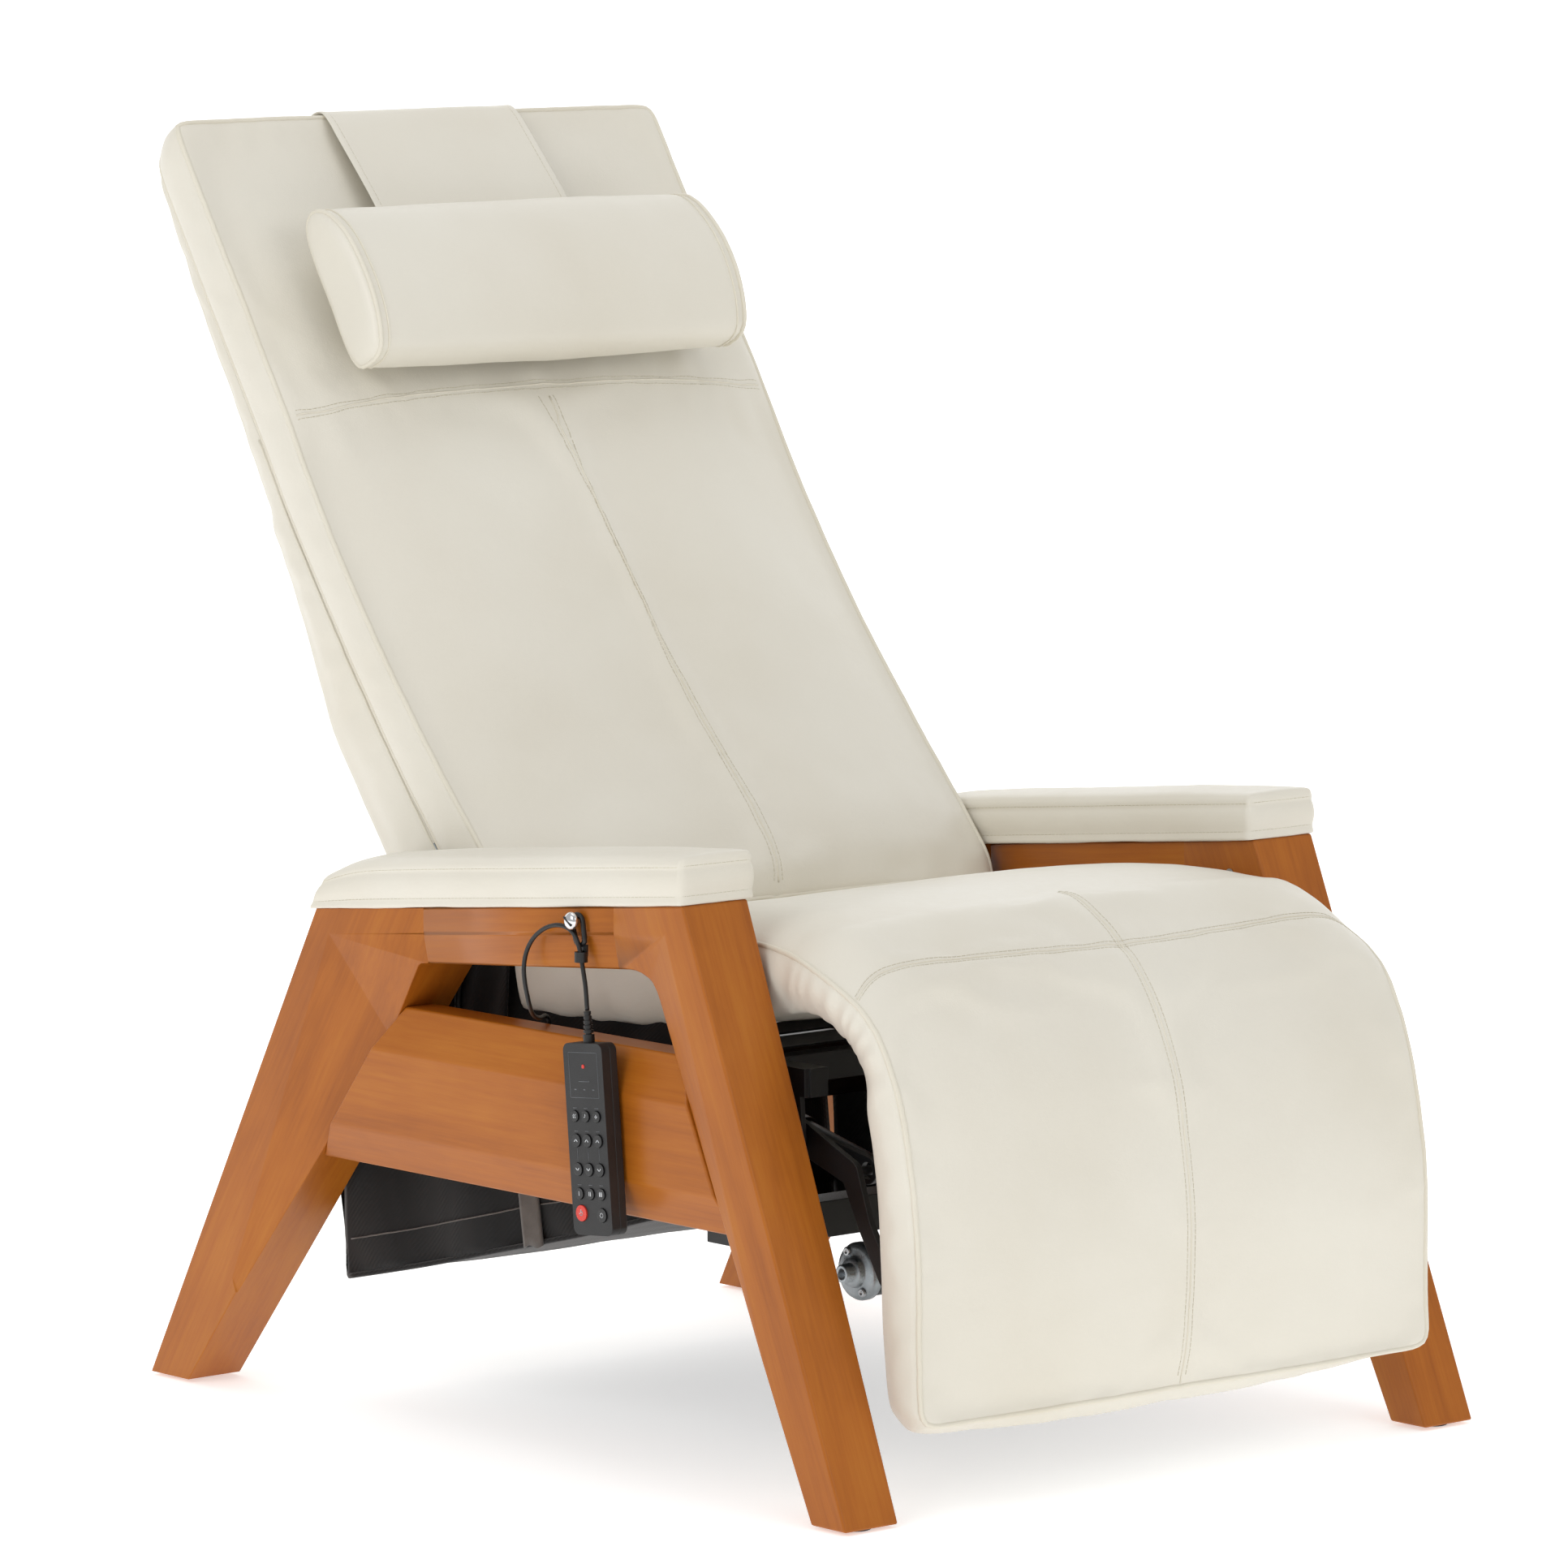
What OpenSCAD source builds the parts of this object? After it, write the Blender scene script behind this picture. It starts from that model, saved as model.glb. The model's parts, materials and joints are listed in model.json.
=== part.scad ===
// Powered zero-gravity massage recliner on a bent-wood frame.
// X runs across the chair, Y from the sitter's feet to the rear, Z up.
// The origin is on the floor, under the middle of the chair.

/* [Wooden frame] */
// Overall width over the outer faces of the legs
frame_w = 750; // [720:5:800]
// Thickness of the legs and arm beams at the top
leg_t_top = 74; // [66:1:80]
// Thickness of the legs at the floor
leg_t_foot = 60; // [54:1:64]
// Depth of the bevel that runs round the opening, per millimetre inwards
bevel_slope = 0.2; // [0.1:0.05:0.3]
// Height of the lower edge of the side rails
rail_bottom = 232; // [225:1:240]
// Height of the upper edge of the side rails
rail_top = 380; // [370:1:385]

/* [Cushions] */
// Width of the seat and back cushions
cushion_w = 576; // [560:2:580]
// Width of the leg cushion
leg_cushion_w = 596; // [580:2:600]
// Radius of the roll that the cushion makes over the knee
knee_r = 180; // [178:1:184]
// Thickness of the back cushion at its border
border_t = 48; // [44:1:52]
// Length of the back cushion, along its slope
back_len = 858; // [840:2:870]
// Angle of the back from upright
back_angle = 35.5; // [30:0.5:38]
// Width of the head pillow
pillow_w = 436; // [400:4:460]
// Width of the strap that carries the head pillow
strap_w = 230; // [200:5:260]

/* [Hand control] */
// Width of the hand control
remote_w = 52; // [48:1:54]
// Length of the hand control
remote_len = 166; // [160:1:170]
// Thickness of the hand control
remote_t = 17; // [16:0.5:18]
// Diameter of the hand control's cord
cord_d = 4; // [3.5:0.5:4.5]

/* [Hidden] */
$fn = 48;

// Distance from the front feet to the middle of the chair's whole depth
origin_y = 523;
outer_x = frame_w / 2;
clear = 0.3;

// Side view of the frame, as [y, z] from the front of the front feet
glide_h = 3;
front_foot = [[0, glide_h], [44, glide_h]];
front_top = [210, 512];
rear_top = [713, 459];
rear_foot = [[908, glide_h], [964, glide_h]];
window_front = [260, 451];
window_rear = [573, 423.7];
beam_joint_y = [300, 560];
window_front_r = 40;
window_rear_r = 12;
// The line on the outer faces where the bevel towards the opening begins
ridge = [[695, 438], [232, 486], [103, 125], [850, 85]];

// Joint axes, as [y, z]
seat_pivot = [400, 330];
knee_pivot = [170, 310];
back_pivot = [575, 395];
link_base = [345, 329];
link_end = [105, 285];
anchor = [157, 166];
lever_end = [600, 270];
hook = [341, 487];
back_foot = [531.5, 450];
remote_top = [321, 383.5];
remote_lean = 5.3;

// How thick the outer layer of the knee roll is, where the leg cushion slides in
knee_skin = 15;
roll_r = knee_r - knee_skin;
roll_inner_r = 120;
lift_angle = 45;
leg_start_angle = 181.5;

leather = "#e8e4d6";
wood = "#b87543";
steel = "#2a2a2c";
black_fabric = "#151515";
plastic = "#2b2b2b";

function unit(v) = v / norm(v);
// A point at a distance and an angle from a centre, in the side view
function polar(centre, r, a) = centre + r * [cos(a), sin(a)];
// The arc that rounds corner b, between its neighbours a and c
function corner_arc(a, b, c, r, n) =
    r <= 0 ? [b] :
    let (u = unit(a - b), v = unit(c - b), half = acos(u * v) / 2,
         centre = b + unit(u + v) * r / sin(half),
         p = b + u * r / tan(half), q = b + v * r / tan(half),
         a0 = atan2(p.y - centre.y, p.x - centre.x),
         a1 = atan2(q.y - centre.y, q.x - centre.x),
         turn = a1 - a0 > 180 ? a1 - a0 - 360 : a1 - a0 < -180 ? a1 - a0 + 360 : a1 - a0)
    [for (i = [0:n]) polar(centre, r, a0 + turn * i / n)];
// An outline of [y, z, corner radius] with its corners rounded
function rounded(pts, n = 6) =
    let (m = len(pts))
    [for (i = [0:m - 1])
        let (a = pts[(i + m - 1) % m], b = pts[i], c = pts[(i + 1) % m])
        each corner_arc([a[0], a[1]], [b[0], b[1]], [c[0], c[1]], b[2] == undef ? 0 : b[2], n)];
// Where a straight line through p and q is at height z
function y_at(p, q, z) = p.x + (q.x - p.x) * (z - p.y) / (q.y - p.y);
function front_leg_rear_y(z) = y_at(front_foot[1], window_front, z);
function rear_leg_front_y(z) = y_at(rear_foot[0], window_rear, z);
// The height of the frame's top edge
function top_z(y) = front_top.y + (rear_top.y - front_top.y) * (y - front_top.x) / (rear_top.x - front_top.x);
function window_z(y) =
    window_front.y + (window_rear.y - window_front.y) * (y - window_front.x) / (window_rear.x - window_front.x);

// Where the inner face of the right-hand leg is, at height z
function leg_inner_x(z) = -outer_x + leg_t_foot + (leg_t_top - leg_t_foot) * z / front_top.y;

// Moves a part from the side view's y = 0 to the chair's own origin
module placed() translate([0, -origin_y, 0]) children();
// A side-view outline made a slab from x0 to x1
module slab(x0, x1) translate([x0, 0, 0]) rotate([90, 0, 90]) linear_extrude(x1 - x0) children();
module both_sides() {
    children();
    mirror([1, 0, 0]) children();
}
// A pin or bore along X
module pin(at, r, x0, x1) translate([x0, at.x, at.y]) rotate([0, 90, 0]) cylinder(r = r, h = x1 - x0);
module box(lo, hi) translate(lo) cube(hi - lo);
// A strap-shaped plate between two points of the side view
module bar(p, q, rp, rq, x0, x1) {
    d = unit(q - p);
    n = [-d.y, d.x];
    slab(x0, x1) polygon([p + n * rp, p - n * rp, q - n * rq, q + n * rq]);
    pin(p, rp, x0, x1);
    pin(q, rq, x0, x1);
}

// ---- Wooden frame ----

// One face of the bevel, from ridge point p to ridge point q, with the opening on its left
module bevel_face(p, q) {
    reach = 700;
    length = norm(q - p);
    translate([-outer_x, p.x, p.y])
        rotate([atan2(q.y - p.y, q.x - p.x), 0, 0])
            rotate([90, 0, 0])
                translate([0, 0, -length - reach])
                    linear_extrude(length + 2 * reach)
                        polygon([[-1, 0], [0, 0], [bevel_slope * reach, reach], [-1, reach]]);
}
module window_bevel() {
    intersection() {
        bevel_face(ridge[0], ridge[1]);
        bevel_face(ridge[1], ridge[2]);
        bevel_face(ridge[3], ridge[0]);
    }
}
// The inner side of a leg narrows towards the floor
module leg_taper() {
    top = front_top.y + 10;
    rotate([90, 0, 0])
        translate([0, 0, -1100])
            linear_extrude(1200)
                polygon([[-outer_x - 1, -1], [leg_inner_x(-1), -1], [leg_inner_x(top), top], [-outer_x - 1, top]]);
}
module front_leg() {
    color(wood) placed() difference() {
        intersection() {
            slab(-outer_x, -outer_x + leg_t_top) polygon(rounded([
                front_foot[0], front_foot[1],
                [window_front.x, window_front.y, window_front_r],
                [beam_joint_y[0], window_z(beam_joint_y[0])],
                [beam_joint_y[0], top_z(beam_joint_y[0])], front_top]));
            leg_taper();
        }
        window_bevel();
    }
}
module rear_leg() {
    color(wood) placed() difference() {
        intersection() {
            slab(-outer_x, -outer_x + leg_t_top) polygon(rounded([
                rear_foot[0], rear_foot[1], rear_top,
                [beam_joint_y[1], top_z(beam_joint_y[1])],
                [beam_joint_y[1], window_z(beam_joint_y[1])],
                [window_rear.x, window_rear.y, window_rear_r]]));
            leg_taper();
        }
        window_bevel();
    }
}
module arm_beam() {
    color(wood) placed() difference() {
        intersection() {
            slab(-outer_x, -outer_x + leg_t_top) polygon([
                [beam_joint_y[0], window_z(beam_joint_y[0])], [beam_joint_y[1], window_z(beam_joint_y[1])],
                [beam_joint_y[1], top_z(beam_joint_y[1])], [beam_joint_y[0], top_z(beam_joint_y[0])]]);
            leg_taper();
        }
        window_bevel();
    }
}
rail_x = [-outer_x + 2, -outer_x + 50];
module side_rail() {
    chamfer_in = 15;
    chamfer_up = [34, 39];
    color(wood) placed() intersection() {
        slab(rail_x[0], rail_x[1]) polygon([
            [front_leg_rear_y(rail_bottom), rail_bottom], [rear_leg_front_y(rail_bottom), rail_bottom],
            [rear_leg_front_y(rail_top), rail_top], [front_leg_rear_y(rail_top), rail_top]]);
        translate([0, 800, 0]) rotate([90, 0, 0]) linear_extrude(800) polygon([
            [rail_x[0], rail_bottom + chamfer_up[0]], [rail_x[0] + chamfer_in, rail_bottom],
            [rail_x[1], rail_bottom], [rail_x[1], rail_top],
            [rail_x[0] + chamfer_in, rail_top], [rail_x[0], rail_top - chamfer_up[1]]]);
    }
}
module arm_pad() {
    overhang = 4;
    pad_x = [-outer_x - overhang, -outer_x + leg_t_top + 8];
    color(leather) placed() slab(pad_x[0], pad_x[1]) polygon(rounded([
        [front_top.x - 2, top_z(front_top.x - 2)], [front_top.x - 2, 556, 10],
        [640, 511, 60], [704, 497, 26], [rear_top.x + 8, top_z(rear_top.x + 8)]]));
}
module foot_glides() {
    color(plastic) placed() both_sides()
        for (y = [(front_foot[0].x + front_foot[1].x) / 2, (rear_foot[0].x + rear_foot[1].x) / 2])
            translate([-outer_x + leg_t_foot / 2, y, 0]) cylinder(r = 14, h = glide_h);
}
// Heads of the cross dowel nuts on the inner faces of the frame, two at each joint of each side
module frame_bolts() {
    head_h = 1.6;
    color("silver") placed() both_sides() {
        for (p = [[240, 478], [280, 474], [590, 446], [640, 441], [176, 345], [144, 270], [700, 350], [715, 308]])
            pin(p, 5, leg_inner_x(p.y) + 0.15, leg_inner_x(p.y) + 0.15 + head_h);
    }
}

// ---- Steel underframe, fixed to the wooden sides ----

tube = 32;
tube_wall = 2.5;
front_tube = [200, 230];
rear_tube = [755, 270];
bracket_t = 6;
module cross_tube(at, half) {
    difference() {
        box([-half, at.x - tube / 2, at.y - tube / 2], [half, at.x + tube / 2, at.y + tube / 2]);
        box([-half - 1, at.x - tube / 2 + tube_wall, at.y - tube / 2 + tube_wall],
            [half + 1, at.x + tube / 2 - tube_wall, at.y + tube / 2 - tube_wall]);
    }
}
// The front tube carries the clevis that the actuator pulls on
module front_cross_tube() {
    half = -rail_x[1] - bracket_t;
    color(steel) placed() {
        cross_tube(front_tube, half);
        both_sides() {
            box([rail_x[1], front_tube.x - tube / 2, front_tube.y - tube / 2],
                [rail_x[1] + bracket_t, front_tube.x + 36, front_tube.y + 60]);
            difference() {
                slab(14, 19) polygon([
                    [184, 244], [184, 216], [168, 201], [170, 166], [164, 155], [157, 152],
                    [149, 155], [144, 166], [150, 192], [168, 244]]);
                pin(anchor, 5.05, 10, 25);
            }
        }
    }
}
module rear_cross_tube() {
    half = 296;
    color(steel) placed() {
        cross_tube(rear_tube, half);
        both_sides() difference() {
            box([-outer_x + leg_t_foot, rear_tube.x - 26, rear_tube.y - 26],
                [-half, rear_tube.x + 26, rear_tube.y + 26]);
            leg_taper();
        }
    }
}
// Plates inside the rails with the seat's bearing and the studs of the leg links
module pivot_brackets() {
    color(steel) placed() both_sides() difference() {
        union() {
            box([rail_x[1], 320, 296], [rail_x[1] + bracket_t, 440, 364]);
            pin(seat_pivot, 14, rail_x[1], -296);
            pin(link_base, 9, rail_x[1], -290);
            pin(link_base, 6, -290, -248);
        }
        pin(seat_pivot, 8.05, rail_x[1] + 2, -295);
    }
}
module actuator_anchor_pin() {
    color("silver") placed() {
        pin(anchor, 5, -22, 22);
        pin(anchor, 7.5, -24, -22);
    }
}
control_box_lo = [60, 664, 236];
control_box_hi = [240, 739, 290];
inlet_at = [190, 700];
module control_box() {
    wall = 2.5;
    color(plastic) placed() difference() {
        box(control_box_lo, control_box_hi);
        box(control_box_lo + [wall, wall, wall], control_box_hi - [wall, wall, wall]);
        box([inlet_at.x - 14, inlet_at.y - 10, control_box_lo.z - 1],
            [inlet_at.x + 14, inlet_at.y + 10, control_box_lo.z + wall + 1]);
    }
}
// Three-pin mains inlet in the bottom of the control box
module power_inlet() {
    z = control_box_lo.z;
    color("#101010") placed() {
        difference() {
            union() {
                box([inlet_at.x - 14, inlet_at.y - 10, z], [inlet_at.x + 14, inlet_at.y + 10, z + 20]);
                box([inlet_at.x - 18, inlet_at.y - 13, z - 2], [inlet_at.x + 18, inlet_at.y + 13, z]);
            }
            box([inlet_at.x - 12, inlet_at.y - 8, z - 3], [inlet_at.x + 12, inlet_at.y + 8, z + 16]);
        }
        for (dx = [-7, 0, 7])
            translate([inlet_at.x + dx, inlet_at.y + (dx == 0 ? 3 : -2), z + 6]) cylinder(r = 1.6, h = 10);
    }
}
// Black cloth sling under the mechanism, hung from the two cross tubes
pouch_x = 296;
module dust_pouch() {
    t = 2;
    color(black_fabric) placed() {
        both_sides() slab(-pouch_x, -pouch_x + t) polygon([
            [216.3, 244], [216.3, 227], [335, 219], [440, 190], [774, 108], [788, 205], [776, 253.5]]);
        slab(-pouch_x + t, pouch_x - t) polygon([
            [440, 190], [774, 108], [788, 205], [771.3, 284], [771.3, 276], [785.5, 205], [772.3, 111],
            [440, 192.2]]);
    }
}
module remote_hook() {
    color("silver") placed() {
        pin(hook, 3, -outer_x - 11, -outer_x);
        pin(hook, 7.5, -outer_x - 16, -outer_x - 11);
    }
}

// ---- Seat ----

seat_x = [262, 282];
lug_t = 5;
seat_tube_z = [345, 369.7];
module seat_lug(at, r, tube_y) {
    slab(-seat_x[1] - lug_t, -seat_x[1]) polygon([
        [tube_y[0], seat_tube_z[0]], [tube_y[1], seat_tube_z[0]],
        [tube_y[1], seat_tube_z[1]], [tube_y[0], seat_tube_z[1]]]);
    bar(at, [(tube_y[0] + tube_y[1]) / 2, (seat_tube_z[0] + seat_tube_z[1]) / 2],
        r, 12, -seat_x[1] - lug_t, -seat_x[1]);
}
module seat_frame() {
    color(steel) placed() {
        both_sides() difference() {
            union() {
                box([-seat_x[1], 150, seat_tube_z[0]], [-seat_x[0], 590, seat_tube_z[1]]);
                seat_lug(seat_pivot, 17, [385, 415]);
                seat_lug(knee_pivot, 15, [152, 190]);
                seat_lug(back_pivot, 15, [560, 590]);
            }
            pin(seat_pivot, 7, -seat_x[1] - lug_t - 1, -seat_x[0] + 1);
            pin(knee_pivot, 6, -seat_x[1] - lug_t - 1, -seat_x[0] + 1);
            pin(back_pivot, 6, -seat_x[1] - lug_t - 1, -seat_x[0] + 1);
        }
        for (y = [215, 500])
            box([-seat_x[0], y, seat_tube_z[0]], [seat_x[0], y + 20, seat_tube_z[1]]);
    }
}
// Elastic straps across the seat frame, under the cushion
module seat_webbing() {
    color(black_fabric) placed()
        for (y = [250, 315, 380, 445])
            box([-seat_x[1] - 2, y, seat_tube_z[1]], [seat_x[1] + 2, y + 50, seat_tube_z[1] + 1.8]);
}
module seat_cushion() {
    half = cushion_w / 2;
    arc_n = 10;
    start = 83.7;
    edge = leg_start_angle - lift_angle - 0.6;
    roll_end = 170;
    color(leather) placed() slab(-half, half) polygon(concat(
        [[546, 372]], corner_arc([546, 372], [541, 450], [189, 489], 14, 4),
        [for (i = [0:arc_n]) polar(knee_pivot, knee_r, start + (edge - start) * i / arc_n)],
        [for (i = [0:arc_n]) polar(knee_pivot, roll_r, edge + (roll_end - edge) * i / arc_n)],
        [for (i = [0:arc_n]) polar(knee_pivot, roll_inner_r, roll_end + (84 - roll_end) * i / arc_n)],
        [[215, 400], [320, 372]]));
}
// Shouldered pins of the seat, knee and back hinges
module pivot_pins() {
    color("silver") placed() both_sides() {
        pin(seat_pivot, 8, rail_x[1] + 4, -seat_x[1] - lug_t);
        pin(seat_pivot, 7, -seat_x[1] - lug_t, -seat_x[1] + 2);
        for (p = [knee_pivot, back_pivot]) {
            pin(p, 6, -seat_x[1] - lug_t, -266);
            pin(p, 8, -seat_x[1] - lug_t - 2, -seat_x[1] - lug_t);
        }
    }
}

// ---- Back, drawn upright from its lower front edge: y' is rearwards, z' up its slope ----

module back_placed() placed() translate([0, back_foot.x, back_foot.y]) rotate([-back_angle, 0, 0]) children();
function to_back(p) =
    let (d = p - back_foot)
    [d.x * cos(back_angle) - d.y * sin(back_angle), d.x * sin(back_angle) + d.y * cos(back_angle)];
back_pin = to_back(back_pivot);
lever_pin_at = to_back(lever_end);
board_y = [36, 46];
cover_bend = [98, 484];
cover_top = [54, 830];
cover_slope = (cover_bend.x - cover_top.x) / (cover_top.y - cover_bend.y);
back_tube_y = [50, 70];
module back_frame() {
    x = [250, 270];
    color(steel) back_placed() {
        both_sides() difference() {
            union() {
                box([-x[1], back_tube_y[0], 6], [-x[0], back_tube_y[1], 370]);
                slab(-x[1] - 8, -x[1] - 2) polygon(rounded([
                    [back_pin.x - 15, back_pin.y - 15, 10], [back_pin.x + 15, back_pin.y - 15, 10],
                    [back_pin.x + 15, 40], [back_tube_y[1], 90], [back_tube_y[0], 90], [back_tube_y[0], 10]]));
                box([-x[1] - 2, back_tube_y[0], 20], [-x[1], back_tube_y[1], 90]);
            }
            pin(back_pin, 6.05, -x[1] - 9, -x[0]);
        }
        for (z = [6, 180, 350]) box([-x[0], back_tube_y[0], z], [x[0], back_tube_y[1], z + 20]);
        both_sides() difference() {
            bar([60, 16], lever_pin_at, 12, 12, 14, 19);
            pin(lever_pin_at, 4, 13, 20);
        }
    }
}
module lever_pin() {
    color("silver") back_placed() {
        pin(lever_pin_at, 4, -21, 21);
        pin(lever_pin_at, 6, -23, -21);
    }
}
module board_outline(half, z0, z1, r) {
    polygon(rounded([[-half, z0, 20], [half, z0, 20], [half, z1, r], [-half, z1, r]]));
}
// A panel in the plane of the back, from y0 to y1 behind its front
module back_panel(y0, y1) translate([0, y1, 0]) rotate([90, 0, 0]) linear_extrude(y1 - y0) children();
module back_board() {
    color("#c8a878") back_placed()
        back_panel(board_y[0], board_y[1]) board_outline(cushion_w / 2 - 8, 30, back_len - 10, 36);
}
module back_cushion() {
    half = cushion_w / 2;
    color(leather) back_placed() intersection() {
        slab(-half, half) polygon(rounded([
            [board_y[0] - clear, 12, 6], [2, 12, 14], [-26, 60, 60], [-24, 170, 120], [-6, 400, 120], [0, 550, 60],
            [0, back_len, 16], [board_y[0] - clear, back_len, 6]]));
        back_panel(-60, 60) polygon(rounded([
            [-half, 0, 20], [half, 0, 20], [half, back_len, 40], [-half, back_len, 40]]));
    }
}
// Rear cover over the massage motors and the back frame
module back_cover() {
    half = cushion_w / 2;
    t = 2.5;
    outer = [[board_y[1] + clear, 2], [100, 2, 20], [134, 60, 30], [135, 215, 60], cover_bend,
             [cover_top.x, cover_top.y, 6], [board_y[1] + clear, cover_top.y]];
    inner = [[board_y[1] - 1, 12], [98, 12, 12], [131.5, 64, 22], [132.5, 214, 56], cover_bend - [t, 0],
             [cover_top.x - t, cover_top.y - 14], [board_y[1] - 1, cover_top.y - 14]];
    color(leather) back_placed() difference() {
        slab(-half, half) polygon(rounded(outer));
        slab(-half + t, half - t) polygon(rounded(inner));
        slab(-half - 1, half + 1) polygon([[back_tube_y[0] - 8, -20], [86, -20], [86, 12], [back_tube_y[0] - 8, 12]]);
        box([-half - 1, board_y[1] - 1, 0], [-half + t + 1, 100, 52]);
        box([half - t - 1, board_y[1] - 1, 0], [half + 1, 100, 52]);
    }
}
// Four vibration motors in cans, screwed to the board
module massage_motors() {
    color("gray") back_placed()
        for (x = [-110, 110], z = [110, 290])
            translate([x, board_y[1], z]) rotate([-90, 0, 0]) {
                cylinder(r = 30, h = 3);
                cylinder(r = 22, h = 26);
            }
}
strap_t = 3;
strap_end = 600;
function strap_y(z) = cover_top.x + 2 * clear + cover_slope * (cover_top.y - z);
module pillow_strap() {
    top = back_len + clear;
    color(leather) back_placed() slab(-strap_w / 2, strap_w / 2) polygon(rounded([
        [-strap_t - clear, strap_end], [-strap_t - clear, top + strap_t, 16 + strap_t],
        [strap_y(top + strap_t) + strap_t, top + strap_t, 8 + strap_t], [strap_y(560) + strap_t, 560],
        [strap_y(560), 560], [strap_y(top), top, 8], [-clear, top, 16], [-clear, strap_end]]));
}
// D-shaped bolster on the strap, fuller towards its lower edge
pillow_z = [564, 728];
module head_pillow() {
    y = -strap_t - 2 * clear - 0.3;
    color(leather) back_placed() slab(-pillow_w / 2, pillow_w / 2) polygon(rounded([
        [y, pillow_z[0] + 8, 12], [y - 44, pillow_z[0], 36], [y - 80, pillow_z[0] + 42, 44],
        [y - 62, pillow_z[0] + 136, 60], [y - 20, pillow_z[1], 30], [y, pillow_z[1] - 4, 8]]));
}

// ---- Leg rest ----

module legrest_cushion() {
    half = leg_cushion_w / 2;
    color(leather) placed() difference() {
        slab(-half, half) polygon(concat(
            [polar(knee_pivot, knee_r, leg_start_angle)],
            rounded([[-10, 306], [-20, 225, 60], [-18, 140, 60], [-9, 76, 14], [26, 76, 10], [33.7, 110], [33.7, 250],
                     [20, 306]], 5)));
        pin(knee_pivot, roll_r + clear, -half - 1, half + 1);
    }
}
module legrest_frame() {
    x = [272, 278];
    color(steel) placed() {
        box([-x[0], 34, 100], [x[0], 40, 204]);
        both_sides() difference() {
            union() {
                bar(link_end, [86, 242], 11, 8, -x[1], -x[0]);
                bar([86, 242], [60, 200], 8, 8, -x[1], -x[0]);
                bar([60, 200], [47, 190], 8, 9, -x[1], -x[0]);
                bar([47, 190], [44, 112], 9, 8, -x[1], -x[0]);
                bar(knee_pivot, link_end, 14, 11, -x[1], -x[0]);
                pin(link_end, 4, -x[0], -246);
            }
            pin(knee_pivot, 6.05, -x[1] - 1, -x[0] + 1);
        }
    }
}
// Flat bars from the brackets on the rails to the leg rest's arms
module legrest_links() {
    x = [252, 258];
    color(steel) placed() both_sides() difference() {
        bar(link_base, link_end, 11, 12, -x[1], -x[0]);
        pin(link_base, 6.05, -x[1] - 1, -x[0] + 1);
        pin(link_end, 7.5, -x[1] - 1, -x[0] + 1);
    }
}

// ---- Linear actuator, drawn along its own axis: s from the anchor pin, n upwards ----

act_len = norm(lever_end - anchor);
act_angle = atan2(lever_end.y - anchor.y, lever_end.x - anchor.x);
motor_s = 45;
housing_s = [18.5, 75];
tube_end = 345;
module actuator_placed() placed() translate([0, anchor.x, anchor.y]) rotate([act_angle, 0, 0]) children();
module along(r, s0, s1) translate([0, s0, 0]) rotate([-90, 0, 0]) cylinder(r = r, h = s1 - s0);
module actuator_housing() {
    color("#3a3a3c") actuator_placed() difference() {
        union() {
            slab(-28, 28) polygon(rounded([[housing_s[0], -24, 6], [housing_s[1], -24, 6],
                                           [housing_s[1], 24, 6], [housing_s[0], 24, 6]]));
            box([-12, 0, -12], [12, housing_s[0] + 1, 12]);
            pin([0, 0], 12, -12, 12);
        }
        pin([0, 0], 5.05, -13, 13);
    }
}
// Geared motor across the spindle, with its cast end bell, threaded boss and two screws
module actuator_motor() {
    color("#1c1c1e") actuator_placed() {
        pin([motor_s, 0], 23, -176, -28);
        difference() {
            union() {
                pin([motor_s, 0], 26, -186, -176);
                pin([motor_s, 0], 13, -192, -186);
                pin([motor_s, 0], 8, -202, -192);
                for (a = [60, 240]) pin([motor_s + 19 * cos(a), 19 * sin(a)], 4, -189, -186);
            }
            pin([motor_s, 0], 4, -203, -190);
        }
    }
}
module actuator_tube() {
    color("#1c1c1e") actuator_placed() difference() {
        union() {
            along(15, housing_s[1], tube_end);
            along(18, tube_end - 14, tube_end);
        }
        along(9.4, housing_s[1] - 1, tube_end + 1);
    }
}
module actuator_rod() {
    color("silver") actuator_placed() difference() {
        union() {
            along(9, 150, act_len - 10);
            pin([act_len, 0], 12.5, -8, 8);
        }
        pin([act_len, 0], 7.5, -9, 9);
    }
}

// ---- Hand control, drawn hanging straight from its top edge ----

remote_x = -outer_x - 1.5;
shell_split = remote_x - 8;
remote_face = remote_x - remote_t;
face_t = 2.5;
module remote_placed() placed() translate([0, remote_top.x, remote_top.y]) rotate([-remote_lean, 0, 0]) children();
// [node, across, down, radius] of each button, from the top middle of the face
col = 14.5;
BUTTONS = [
    ["button_heat", col, 63, 4.8], ["button_timer", 0, 63, 4.8], ["button_mode", -col, 63, 4.8],
    ["button_raise_leg", col, 84, 5.6], ["button_raise_all", 0, 84, 5.6], ["button_raise_back", -col, 84, 5.6],
    ["button_lower_leg", col, 109, 5.6], ["button_lower_all", 0, 109, 5.6], ["button_lower_back", -col, 109, 5.6],
    ["button_massage_low", col, 130, 5], ["button_massage_mid", 0, 130, 5], ["button_massage_high", -col, 130, 5],
    ["button_power", col - 1, 147, 7], ["button_zero", -col + 0.5, 148, 6]];
lamp_at = [0, -20];
module remote_outline(inset, r) {
    polygon(rounded([[-remote_w / 2 + inset, -remote_len + inset, r], [remote_w / 2 - inset, -remote_len + inset, r],
                     [remote_w / 2 - inset, -inset, r], [-remote_w / 2 + inset, -inset, r]]));
}
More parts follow.
